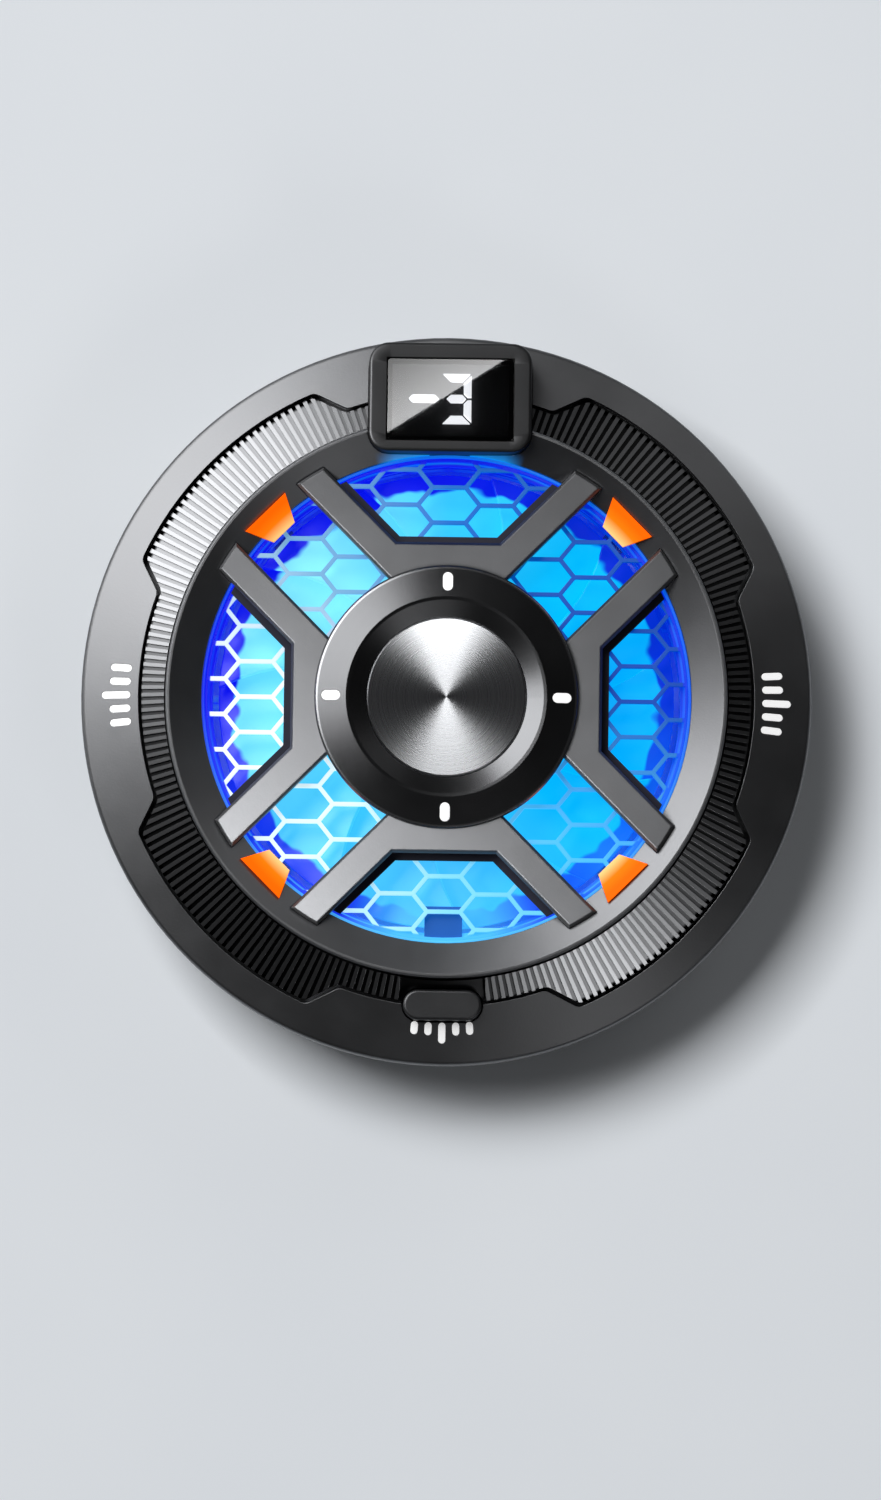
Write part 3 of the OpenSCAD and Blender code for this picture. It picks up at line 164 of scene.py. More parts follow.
def pick(piece, kind, test):
    """Selects the points, edges or faces whose place passes a test, and leaves the rest."""
    bpy.ops.mesh.select_mode(type=kind)
    bpy.ops.mesh.select_all(action="DESELECT")
    bpy.ops.object.mode_set(mode="OBJECT")
    mesh = piece.data
    if kind == "VERT":
        for point in mesh.vertices:
            point.select = test(point.co)
    elif kind == "EDGE":
        for edge in mesh.edges:
            a, b = (mesh.vertices[i].co for i in edge.vertices)
            edge.select = test(a, b)
    else:
        for face in mesh.polygons:
            face.select = test(face.center, face.normal)
    bpy.ops.object.mode_set(mode="EDIT")


bpy.ops.object.select_all(action="DESELECT")
print("selected to start with:", len(bpy.context.selected_objects))

# %% [markdown]
# Round pieces are turned, as on a lathe: a section is drawn, only its outline is kept, and the outline is
# spun round the fan's axis. A cylinder could be cut into shape instead, with more steps.

# %% Turn and spin
FLAT_WITHIN = math.radians(1)


def turn_by(angle):
    """Turns the selection about the fan's axis. Without a window the operator turns the other way."""
    bpy.ops.transform.rotate(value=-angle, orient_axis="Z", center_override=(0, 0, 0))


def outline_only():
    """Joins the faces of a section into one and keeps its outline alone, ready to be spun."""
    bpy.ops.mesh.select_all(action="SELECT")
    bpy.ops.mesh.dissolve_limited(angle_limit=FLAT_WITHIN)
    bpy.ops.mesh.select_all(action="SELECT")
    bpy.ops.mesh.delete(type="ONLY_FACE")
    bpy.ops.mesh.select_all(action="SELECT")


def spin_round(steps):
    bpy.ops.mesh.select_all(action="SELECT")
    bpy.ops.mesh.spin(steps=steps, angle=math.tau, center=(0, 0, 0), axis=(0, 0, 1), use_auto_merge=True)
    bpy.ops.mesh.select_all(action="SELECT")
    bpy.ops.mesh.remove_doubles(threshold=HAIR)


print("doubles closer than", HAIR / MM, "mm are merged")

# %% [markdown]
# The last tool finishes a piece. It merges doubles, turns the faces outwards, smooths the round parts and
# keeps wide faces flat beside a bevel. Then the piece rides on its body in place of the plain solid.

# %% Finish a piece
SMOOTH_BELOW = math.radians(32)


def finish_piece(piece, body, node, slot):
    bpy.ops.object.mode_set(mode="EDIT")
    bpy.ops.mesh.select_all(action="SELECT")
    bpy.ops.mesh.remove_doubles(threshold=HAIR)
    bpy.ops.mesh.normals_make_consistent(inside=False)
    bpy.ops.object.mode_set(mode="OBJECT")
    bpy.ops.object.shade_smooth_by_angle(angle=SMOOTH_BELOW)
    piece.modifiers.new("flat faces", "WEIGHTED_NORMAL").keep_sharp = True
    bpy.ops.object.modifier_apply(modifier="flat faces")
    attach(piece, body)
    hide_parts(node)
    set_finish(piece, slot)
    print(piece.name, "has", len(piece.data.polygons), "faces")


print("edges sharper than", round(math.degrees(SMOOTH_BELOW)), "degrees stay sharp")

# %% [markdown]
# ## The silicone grip pad
#
# The ring that the fan stands on is soft silicone with fine grooves that let air out and stop it sliding.
# It could be a torus that is flattened, or rings cut into a disc. A section that is spun round the axis is
# shortest: a thin rectangle whose lower edge is divided and stepped, then spun, and its two lower corners
# rounded with a bevel.

# %% Model the grip pad
PAD_GROOVES = 6
GROOVE_POINTS = 4
GROOVE_DEPTH = 0.12 * MM
PAD_ROUND = 0.18 * MM
PAD_SPIN = 144

pad_ri, pad_ro = radii_of("grip_pad")
pad_low, pad_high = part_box("grip_pad")
pad_t = pad_high.z - pad_low.z
bpy.ops.mesh.primitive_plane_add(
    size=1, location=((pad_ri + pad_ro) / 2, 0, pad_low.z + pad_t / 2), rotation=(math.pi / 2, 0, 0)
)
bpy.context.active_object.scale = (pad_ro - pad_ri, pad_t, 1)
pad = begin("silicone_grip_pad")
outline_only()
pick(pad, "EDGE", lambda a, b: near(a.z, pad_low.z) and near(b.z, pad_low.z))
pad_steps = GROOVE_POINTS * PAD_GROOVES + 1
bpy.ops.mesh.subdivide(number_cuts=pad_steps - 1)


def in_groove(p):
    step = round((p.x - pad_ri) / (pad_ro - pad_ri) * pad_steps)
    return near(p.z, pad_low.z) and step % GROOVE_POINTS in (2, 3)


pick(pad, "VERT", in_groove)
bpy.ops.transform.translate(value=(0, 0, GROOVE_DEPTH))
spin_round(PAD_SPIN)


def pad_corner(a, b):
    level = near(a.z, pad_low.z) and near(b.z, pad_low.z)
    return level and any(all(near(math.hypot(p.x, p.y), r) for p in (a, b)) for r in (pad_ri, pad_ro))


pick(pad, "EDGE", pad_corner)
bpy.ops.mesh.bevel(offset=PAD_ROUND, segments=3)
finish_piece(pad, "housing", "grip_pad", "grip_silicone")

# %% [markdown]
# ## The impeller
#
# Under the honeycomb turns an impeller. Its middle is a cup over the motor. A cup could be a cylinder that
# is hollowed out. Here its section is drawn instead: a plate with a wall pulled down from its outer end,
# which is spun round the axis. A bevel rounds its upper edge.

# %% Model the impeller's hub
HUB_WALL = 0.95 * MM
HUB_PLATE = 1.1 * MM
HUB_ROUND = 0.4 * MM
HUB_SPIN = 96

fan_low, fan_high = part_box("impeller")
bore_r, tip_r = radii_of("impeller")
fan_hub_r = radii_of("rotor_yoke")[1] + HUB_WALL
bpy.ops.mesh.primitive_plane_add(
    size=1, location=((bore_r + fan_hub_r) / 2, 0, fan_high.z - HUB_PLATE / 2), rotation=(math.pi / 2, 0, 0)
)
bpy.context.active_object.scale = (fan_hub_r - bore_r, HUB_PLATE, 1)
impeller = begin("impeller_blades")
wall_r = fan_hub_r - HUB_WALL
bpy.ops.mesh.bisect(plane_co=(wall_r, 0, 0), plane_no=(1, 0, 0))
plate_z = fan_high.z - HUB_PLATE
pick(impeller, "EDGE", lambda a, b: all(near(p.z, plate_z) and p.x > wall_r - HAIR for p in (a, b)))
bpy.ops.mesh.extrude_region_move(TRANSFORM_OT_translate={"value": (0, 0, fan_low.z - plate_z)})
outline_only()
spin_round(HUB_SPIN)
pick(
    impeller,
    "EDGE",
    lambda a, b: all(near(p.z, fan_high.z) and near(math.hypot(p.x, p.y), fan_hub_r) for p in (a, b)),
)
bpy.ops.mesh.bevel(offset=HUB_ROUND, segments=4)
bpy.ops.object.mode_set(mode="OBJECT")
print("hub radius in mm:", round(fan_hub_r / MM, 2), "tip radius:", round(tip_r / MM, 2))

# %% [markdown]
# Eleven swept blades stand round the cup. A blade could be cut from a plate, but a real one is a ramp that
# winds about the axis. So its leading edge is drawn first, swept forward by turning its points about the
# axis, and then extruded in small steps, each turned back a little and set a little lower. Solidify gives
# it a wall and a bevel softens its edges.

# %% Model one blade
BLADE_H = 2.8 * MM
BLADE_T = 0.55 * MM
BLADE_SPAN = math.radians(35)
BLADE_SWEEP = math.radians(14)
SWEEP_POWER = 1.5
TIP_GAP = 0.05 * MM
BLADE_ROUND = 0.12 * MM
ROOT_CUTS = 6
CHORD_STEPS = 7

blade_root = fan_hub_r - HUB_WALL / 2
blade_l = tip_r - TIP_GAP - blade_root
blade_top = fan_high.z - BLADE_T / 2
bpy.ops.object.select_all(action="DESELECT")
bpy.ops.mesh.primitive_plane_add(size=blade_l, location=(blade_root + blade_l / 2, blade_l / 2, blade_top))
blade = begin("blade")
pick(blade, "VERT", lambda p: p.y > blade_l / 2)
bpy.ops.mesh.delete(type="VERT")
bpy.ops.mesh.select_all(action="SELECT")
bpy.ops.mesh.subdivide(number_cuts=ROOT_CUTS)
for step in range(1, ROOT_CUTS + 2):
    along = step / (ROOT_CUTS + 1)
    pick(blade, "VERT", lambda p: near(math.hypot(p.x, p.y), blade_root + blade_l * along))
    turn_by(BLADE_SWEEP * along**SWEEP_POWER)
bpy.ops.mesh.select_mode(type="EDGE")
bpy.ops.mesh.select_all(action="SELECT")
for step in range(CHORD_STEPS):
    drop = (BLADE_H - BLADE_T) / CHORD_STEPS
    bpy.ops.mesh.extrude_region_move(TRANSFORM_OT_translate={"value": (0, 0, -drop)})
    turn_by(-BLADE_SPAN / CHORD_STEPS)
bpy.ops.object.mode_set(mode="OBJECT")
solidify = blade.modifiers.new("wall", "SOLIDIFY")
solidify.thickness = BLADE_T
solidify.offset = 0
bevel = blade.modifiers.new("soft edge", "BEVEL")
bevel.width = BLADE_ROUND
bevel.segments = 2
for modifier in ("wall", "soft edge"):
    bpy.ops.object.modifier_apply(modifier=modifier)
print("one blade has", len(blade.data.polygons), "faces")

# %% [markdown]
# The other blades are copies, each with a mesh of its own that is turned about the axis. An array modifier
# would do the same. Joined to the cup they make one piece, as it comes out of its mould.

# %% Copy the blade round the hub
BLADE_COUNT = 11

blades = [blade]
for count in range(1, BLADE_COUNT):
    copy = blade.copy()
    copy.data = blade.data.copy()
    bpy.context.scene.collection.objects.link(copy)
    copy.data.transform(Matrix.Rotation(math.tau * count / BLADE_COUNT, 4, "Z"))
    blades.append(copy)
bpy.ops.object.select_all(action="DESELECT")
for made in [*blades, impeller]:
    made.select_set(True)
bpy.context.view_layer.objects.active = impeller
bpy.ops.object.join()
finish_piece(impeller, "rotor", "impeller", "fan_blue")

# %% [markdown]
# ## The push button
#
# The button is a pill with a soft upper edge and a lip that keeps it in the cover. A cube is enough to
# start with: a bevel on its four upright edges makes the pill, a cut near the bottom marks the lip,
# the faces below the cut are pushed out, and a bevel with several segments rounds the top. The two bevels
# of an end stop just short of each other, because they may not meet. A cylinder that is cut in half and
# drawn apart would give the same pill, with more steps.

# %% Model the button
LIP_W = 0.4 * MM
LIP_T = 0.5 * MM
END_GAP = 0.01 * MM
BUTTON_ROUND = 0.3 * MM
FACING_OUT = 0.5

key_low, key_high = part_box("button_cap")
key_l = key_high.x - key_low.x - 2 * LIP_W
key_w = key_high.y - key_low.y - 2 * LIP_W
bpy.ops.object.select_all(action="DESELECT")
bpy.ops.mesh.primitive_cube_add(size=1, location=(key_low + key_high) / 2)
bpy.context.active_object.scale = (key_l, key_w, key_high.z - key_low.z)
key = begin("push_button")
pick(key, "EDGE", lambda a, b: near(a.x, b.x) and near(a.y, b.y))
bpy.ops.mesh.bevel(offset=key_w / 2 - END_GAP, segments=12)
bpy.ops.mesh.select_all(action="SELECT")
bpy.ops.mesh.bisect(plane_co=(0, 0, key_low.z + LIP_T), plane_no=(0, 0, 1))
pick(key, "FACE", lambda c, n: abs(n.z) < FACING_OUT and c.z < key_low.z + LIP_T)
bpy.ops.mesh.extrude_region_shrink_fatten(TRANSFORM_OT_shrink_fatten={"value": LIP_W})
pick(key, "EDGE", lambda a, b: near(a.z, key_high.z) and near(b.z, key_high.z))
bpy.ops.mesh.bevel(offset=BUTTON_ROUND, segments=5)
finish_piece(key, "button", "button_cap", "button_graphite")

# %% [markdown]
# ## The display frame
#
# The frame round the display bridges the bezel and the cover, so its underside has a step. A cube with
# a hole cut by a boolean would give sharp edges. Here its side view is drawn as a flat shape with the
# step, extruded to its width, and its four upright corners and its upper edge are rounded.

# %% Model the display frame
FRAME_CORNER = 1.8 * MM
FRAME_ROUND = 0.32 * MM

shell_low, shell_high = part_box("display_frame")
step_y = radii_of("ribbed_ring")[0]
step_z = min(p.z for p in points_of("display_frame") if p.y < shell_low.y + MM)
frame_w = shell_high.x - shell_low.x
frame_l = shell_high.y - shell_low.y
bpy.ops.object.select_all(action="DESELECT")
bpy.ops.mesh.primitive_plane_add(
    size=1,
    location=(shell_low.x, (step_y + shell_high.y) / 2, (shell_low.z + shell_high.z) / 2),
    rotation=(0, math.pi / 2, 0),
)
bpy.context.active_object.scale = (shell_high.z - shell_low.z, shell_high.y - step_y, 1)
bezel = begin("display_bezel")
bpy.ops.mesh.bisect(plane_co=(0, 0, step_z), plane_no=(0, 0, 1))
pick(bezel, "EDGE", lambda a, b: near(a.y, step_y) and near(b.y, step_y) and min(a.z, b.z) > step_z - HAIR)
bpy.ops.mesh.extrude_region_move(TRANSFORM_OT_translate={"value": (0, shell_low.y - step_y, 0)})
bpy.ops.mesh.select_all(action="SELECT")
bpy.ops.mesh.dissolve_limited(angle_limit=FLAT_WITHIN)
bpy.ops.mesh.select_all(action="SELECT")
bpy.ops.mesh.extrude_region_move(TRANSFORM_OT_translate={"value": (frame_w, 0, 0)})


def upright_corner(a, b):
    on_side = near(a.x, b.x) and near(a.y, b.y)
    return on_side and (near(a.y, shell_low.y) or near(a.y, shell_high.y))


pick(bezel, "EDGE", upright_corner)
bpy.ops.mesh.bevel(offset=FRAME_CORNER, segments=10)
pick(bezel, "EDGE", lambda a, b: near(a.z, shell_high.z) and near(b.z, shell_high.z))
bpy.ops.mesh.bevel(offset=FRAME_ROUND, segments=4)
print("display frame in mm:", round(frame_w / MM, 2), "by", round(frame_l / MM, 2))

# %% [markdown]
# The window is a well down to the foot of the tray that carries the digits. A boolean could cut it, but it
# leaves long thin faces round the hole. So the top face is inset, stretched to the size of the glass and
# pushed down. A small bevel takes the sharpness off its rim.

# %% Sink the window
WINDOW_INSET = 1.1 * MM
WINDOW_FIT = 0.05 * MM
WINDOW_ROUND = 0.06 * MM
FACING_UP = 0.99

glass_low, glass_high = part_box("display_glass")
tray_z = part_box("display_tray")[0].z
window_w = glass_high.x - glass_low.x + 2 * WINDOW_FIT
window_l = glass_high.y - glass_low.y + 2 * WINDOW_FIT
window_y = (glass_low.y + glass_high.y) / 2
pick(bezel, "FACE", lambda c, n: n.z > FACING_UP and near(c.z, shell_high.z))
bpy.ops.mesh.inset(thickness=WINDOW_INSET)
frame_y = (shell_low.y + shell_high.y) / 2
border = 2 * (WINDOW_INSET + FRAME_ROUND)
stretch = (window_w / (frame_w - border), window_l / (frame_l - border), 1)
bpy.ops.transform.resize(value=stretch, center_override=(0, frame_y, shell_high.z))
bpy.ops.transform.translate(value=(0, window_y - frame_y, 0))
bpy.ops.mesh.extrude_region_move(TRANSFORM_OT_translate={"value": (0, 0, tray_z - shell_high.z)})


def window_rim(a, b):
    reach = (window_w / 2 + 10 * HAIR, window_l / 2 + 10 * HAIR)
    inside = all(abs(p.x) < reach[0] and abs(p.y - window_y) < reach[1] for p in (a, b))
    return inside and near(a.z, shell_high.z) and near(b.z, shell_high.z)


pick(bezel, "EDGE", window_rim)
bpy.ops.mesh.bevel(offset=WINDOW_ROUND, segments=2)
finish_piece(bezel, "housing", "display_frame", "frame_graphite")

# %% [markdown]
# ## Shared effects
#
# Nodes can be wired with the mouse in the shader editor. In code a few short functions do it: one adds a
# node and links or sets its inputs, and one starts a node group with named sockets.

# %% Wire nodes


def feed(tree, socket, source):
    """Links an output to a socket, or sets the socket's own value."""
    if hasattr(source, "is_output"):
        tree.links.new(source, socket)
    else:
        socket.default_value = source


def add(tree, kind, inputs=None, **values):
    """Adds a node, sets its properties and feeds its inputs by name or number."""
    made = tree.nodes.new(kind)
    for key, value in values.items():
        setattr(made, key, value)
    for key, source in (inputs or {}).items():
        feed(tree, made.inputs[key], source)
    return made


def maths(tree, operation, a, b=0.0, clamp=False):
    return add(tree, "ShaderNodeMath", {0: a, 1: b}, operation=operation, use_clamp=clamp).outputs[0]


def place_in(tree):
    return add(tree, "ShaderNodeTexCoord").outputs["Object"]


def new_group(name, inputs, outputs):
    tree = bpy.data.node_groups.new(name, "ShaderNodeTree")
    for label, value in inputs.items():
        socket = tree.interface.new_socket(label, in_out="INPUT", socket_type="NodeSocketFloat")
        socket.default_value = value
    for label, kind in outputs.items():
        tree.interface.new_socket(label, in_out="OUTPUT", socket_type=kind)
    return tree, tree.nodes.new("NodeGroupInput"), tree.nodes.new("NodeGroupOutput")


print("node groups so far:", len(bpy.data.node_groups))

# %% [markdown]
# Paint and moulded plastic have a fine grain, and their tone wanders slowly over a few millimetres. Both
# come from noise, one fine and one 25 times as coarse. The group gives out values only, and every material
# sets its own size of grain.

# %% Build the grain
COARSER = 25.0


def grain_group():
    outputs = {name: "NodeSocketFloat" for name in ("Height", "Tone")}
    tree, start, end = new_group("fine_grain", {"Size": 0.2 * MM}, outputs)
    place = place_in(tree)
    fine_scale = maths(tree, "DIVIDE", 1.0, start.outputs["Size"])
    slow_scale = maths(tree, "DIVIDE", fine_scale, COARSER)
    fine = add(tree, "ShaderNodeTexNoise", {"Vector": place, "Scale": fine_scale, "Detail": 2.0})
    slow = add(tree, "ShaderNodeTexNoise", {"Vector": place, "Scale": slow_scale, "Detail": 3.0})
    tree.links.new(fine.outputs["Fac"], end.inputs["Height"])
    tree.links.new(slow.outputs["Fac"], end.inputs["Tone"])
    return tree


GRAIN = grain_group()
print("grain:", len(GRAIN.nodes), "nodes")

# %% [markdown]
# No real edge is perfectly sharp. The Bevel node rounds the normal near an edge without new faces. Where
# the rounded normal leaves the flat one there is an edge, so the same node also says where edges are
# lightened, as rubbed wear and as a painted highlight.

# %% Build the soft edge
EDGE_GAIN = 5.0


def edge_group():
    outputs = {"Normal": "NodeSocketVector", "Edge": "NodeSocketFloat"}
    tree, start, end = new_group("soft_edge", {"Radius": 0.1 * MM}, outputs)
    rounded = add(tree, "ShaderNodeBevel", {"Radius": start.outputs["Radius"]}, samples=4)
    flat = add(tree, "ShaderNodeNewGeometry").outputs["Normal"]
    alike = add(tree, "ShaderNodeVectorMath", {0: rounded.outputs[0], 1: flat}, operation="DOT_PRODUCT")
    apart = maths(tree, "SUBTRACT", 1.0, alike.outputs["Value"])
    edge = maths(tree, "MULTIPLY", apart, EDGE_GAIN, clamp=True)
    tree.links.new(rounded.outputs[0], end.inputs["Normal"])
    tree.links.new(edge, end.inputs["Edge"])
    return tree


EDGE = edge_group()
print("soft edge:", len(EDGE.nodes), "nodes")

# %% [markdown]
# The fan is round, so many finishes follow the axis. The third group turns a place into its distance from
# the axis, its turn about it and its height.

# %% Build the place round the axis


def axis_group():
    """Reach is the distance from the fan's axis. Turn runs from 0 at the left, through the bottom, to 1."""
    outputs = {name: "NodeSocketFloat" for name in ("Reach", "Turn", "Height")}
    tree, _, end = new_group("round_the_axis", {}, outputs)
    split = add(tree, "ShaderNodeSeparateXYZ", {0: place_in(tree)})
    flat = add(tree, "ShaderNodeCombineXYZ", {0: split.outputs[0], 1: split.outputs[1]})
    reach = add(tree, "ShaderNodeVectorMath", {0: flat.outputs[0]}, operation="LENGTH")
    angle = maths(tree, "ARCTAN2", split.outputs[1], split.outputs[0])
    turn = maths(tree, "ADD", maths(tree, "DIVIDE", angle, math.tau), 0.5)
    tree.links.new(reach.outputs["Value"], end.inputs["Reach"])
    tree.links.new(turn, end.inputs["Turn"])
    tree.links.new(split.outputs[2], end.inputs["Height"])
    return tree


AXIS = axis_group()
print("node groups:", [g.name for g in bpy.data.node_groups])

# %% [markdown]
# ## A finish for most pieces
#
# A colour that was picked on a screen has to be made linear before a shader takes it. The other helpers
# start a material, place a group in it, mix two colours and map a value to a range or to colours.

# %% Colours and masks


def srgb(red, green, blue):
    """A colour as a screen shows it, from 0 to 255, as the linear colour that a shader takes."""
    shares = [c / 255 for c in (red, green, blue)]
    return tuple(c / 12.92 if c <= 0.04045 else ((c + 0.055) / 1.055) ** 2.4 for c in shares) + (1.0,)


def shade(colour, amount):
    return tuple(min(1.0, c * amount) for c in colour[:3]) + (1.0,)


def new_material(name, metallic=0.0):
    made = bpy.data.materials.new(name)
    made.use_nodes = True
    shader = made.node_tree.nodes["Principled BSDF"]
    shader.inputs["Metallic"].default_value = metallic
    return made, made.node_tree, shader


def grouped(tree, group, **values):
    made = add(tree, "ShaderNodeGroup", node_tree=group)
    for key, value in values.items():
        made.inputs[key].default_value = value
    return made.outputs


def blend(tree, amount, first, second, **kind):
    return add(tree, "ShaderNodeMix", {0: amount, 6: first, 7: second}, data_type="RGBA", **kind).outputs[2]


def spread(tree, value, low, high):
    """Maps a value from 0 to 1 to the range from low to high."""
    return add(tree, "ShaderNodeMapRange", {"Value": value, "To Min": low, "To Max": high}).outputs[0]


def share(tree, value, start, end, **kind):
    """Runs from 0, where a value is at its start, to 1, where it is at its end."""
    limits = {"Value": value, "From Min": start, "From Max": end}
    return add(tree, "ShaderNodeMapRange", limits, **kind).outputs[0]


def ramp(tree, value, stops):
    made = add(tree, "ShaderNodeValToRGB", {0: value})
    elements = made.color_ramp.elements
    while len(elements) < len(stops):
        elements.new(0.5)
    for element, (place, colour) in zip(elements, stops):
        element.position = place
        element.color = colour
    return made.outputs[0]


BLACK = (0.0, 0.0, 0.0, 1.0)
GRAPHITE = (0.135, 0.137, 0.142, 1.0)
print("graphite as a linear colour:", GRAPHITE[:3])

# %% [markdown]
# Paint, moulded plastic, sheet metal and rubber differ in colour, gloss and grain, and they share one
# recipe: the colour wanders a little between two tones, edges are a shade lighter as rubbed wear and as a
# painted highlight, the gloss varies with the tone, and the grain lifts the surface a few microns. One
# function holds the recipe, so a finish is only a row of numbers.

# %% The recipe for a finish
WEAR_AND_HIGHLIGHT_LIFT = 1.9
RELIEF = 0.05 * MM


def surface(
    tree, shader, colour, roughness, grain=0.2 * MM, bump=0.1, edge=0.08 * MM, wear_and_sheen=0.3, vary=0.12
):
    """Gives a shader its colour, gloss and relief. The colour may be a socket."""
    fine = grouped(tree, GRAIN, Size=grain)
    soft = grouped(tree, EDGE, Radius=edge)
    tone = spread(tree, fine["Tone"], 1 - vary, 1 + vary)
    toned = blend(tree, 1.0, colour, tone, blend_type="MULTIPLY")
    # Edges are lightened as rubbed wear and as a painted highlight.
    worn_and_highlit = add(tree, "ShaderNodeHueSaturation", {"Color": toned, "Value": WEAR_AND_HIGHLIGHT_LIFT}).outputs[0]
    edge_wear_and_highlight = maths(tree, "MULTIPLY", soft["Edge"], wear_and_sheen)
    tree.links.new(blend(tree, edge_wear_and_highlight, toned, worn_and_highlit), shader.inputs["Base Color"])
    gloss = spread(tree, fine["Tone"], roughness * (1 - vary), roughness * (1 + vary))
    tree.links.new(gloss, shader.inputs["Roughness"])
    inputs = {"Strength": bump, "Distance": RELIEF, "Height": fine["Height"], "Normal": soft["Normal"]}
    tree.links.new(add(tree, "ShaderNodeBump", inputs).outputs[0], shader.inputs["Normal"])


def plain_finish(name, colour, roughness, metallic=0.0, coat=0.0, **relief):
    made, tree, shader = new_material(name, metallic)
    shader.inputs["Coat Weight"].default_value = coat
    surface(tree, shader, colour, roughness, **relief)
    return made


print("relief in mm:", RELIEF / MM)

# %% [markdown]
# ## Graphite, plastic and metal
#
# The front is satin graphite paint with metal flake, so it mirrors the soft lights broadly and goes
# almost black where it mirrors nothing. The rear shell is black plastic with a moulded grain. The
# pieces inside show only through the vents, and get the finish that they have on a bench.

# %% Mix the finishes
FINISHES = {
    "cover_graphite": dict(colour=GRAPHITE, roughness=0.4, metallic=1.0),
    "bezel_graphite": dict(colour=shade(GRAPHITE, 1.15), roughness=0.4, metallic=1.0),
    "guard_grey": dict(colour=shade(GRAPHITE, 1.3), roughness=0.44, metallic=1.0, edge=0.15 * MM),
    "button_graphite": dict(colour=shade(GRAPHITE, 0.5), roughness=0.36, metallic=0.9),
    "shell_black": dict(colour=srgb(38, 40, 43), roughness=0.5, grain=0.12 * MM, bump=0.35),
    "grip_silicone": dict(colour=srgb(58, 60, 63), roughness=0.72, grain=0.3 * MM, bump=0.2),
    # The carrier is dark navy, darkened nearly to black as painted shade beside the bars.
    "carrier_navy": dict(colour=srgb(4, 6, 34), roughness=0.7),
    "chip_black": dict(colour=srgb(26, 27, 29), roughness=0.55),
    "motor_black": dict(colour=srgb(44, 46, 49), roughness=0.5),
    "ceramic": dict(colour=srgb(238, 238, 232), roughness=0.4, vary=0.04),
    "pellet_grey": dict(colour=srgb(104, 106, 112), roughness=0.45, metallic=0.6),
    "lead_red": dict(colour=srgb(176, 34, 36), roughness=0.45),
    "lead_white": dict(colour=srgb(222, 222, 218), roughness=0.45),
    "foam_grey": dict(colour=srgb(86, 89, 93), roughness=0.9, grain=0.4 * MM, bump=0.8),
    "board_green": dict(colour=srgb(24, 84, 52), roughness=0.35, coat=0.3),
    "board_white": dict(colour=srgb(228, 232, 235), roughness=0.35, vary=0.05),
    "thrust_ivory": dict(colour=srgb(228, 222, 204), roughness=0.45),
    "part_tan": dict(colour=srgb(150, 122, 88), roughness=0.5),
    "magnet_nickel": dict(colour=(0.66, 0.64, 0.6, 1.0), roughness=0.25, metallic=1.0),
    "steel_sheet": dict(colour=(0.5, 0.51, 0.53, 1.0), roughness=0.38, metallic=1.0),
    "aluminium": dict(colour=(0.72, 0.73, 0.75, 1.0), roughness=0.36, metallic=1.0),
    "screw_steel": dict(colour=(0.48, 0.49, 0.51, 1.0), roughness=0.32, metallic=1.0),
    "shaft_steel": dict(colour=(0.62, 0.63, 0.65, 1.0), roughness=0.18, metallic=1.0),
    "core_steel": dict(colour=(0.32, 0.33, 0.35, 1.0), roughness=0.45, metallic=1.0),
    "bush_bronze": dict(colour=(0.52, 0.34, 0.14, 1.0), roughness=0.42, metallic=1.0),
    "copper": dict(colour=(0.72, 0.33, 0.17, 1.0), roughness=0.3, metallic=1.0, bump=0.6),
    "pin_gold": dict(colour=(0.8, 0.6, 0.24, 1.0), roughness=0.25, metallic=1.0),
    "ferrite": dict(colour=srgb(60, 61, 64), roughness=0.6),
}
materials = {slot: plain_finish(slot, **numbers) for slot, numbers in FINISHES.items()}
print("plain finishes:", len(materials))

# %% [markdown]
# ## Ribs with dark grooves
#
# The grooves between the ribs get painted shade: the ridges shine and the grooves are painted black, with a
# painted highlight at the upper left and the lower right, where the lamps shine down them. The grooves
# could be a piece of their own. It is simpler to let the colour look how far it lies below the cone of the
# ridges, and to change at about a fifth of a millimetre. The last half millimetre of a groove, beside the
# cover, is painted black as a painted shadow of the cover.

# %% Mix the paint of the ribs
GROOVE_START = 0.12 * MM
GROOVE_END = 0.26 * MM
SHADOWED_TAIL = 0.5 * MM
OUTER_BAND = 0.05 * MM
GROOVE_SHADE_TONES = [
    (0.0, 0.3),
    (0.08, 0.1),
    (0.25, 0.1),
    (0.35, 0.5),
    (0.45, 0.2),
    (0.7, 0.08),
    (0.8, 0.6),
    (0.93, 0.7),
    (1.0, 0.3),
]


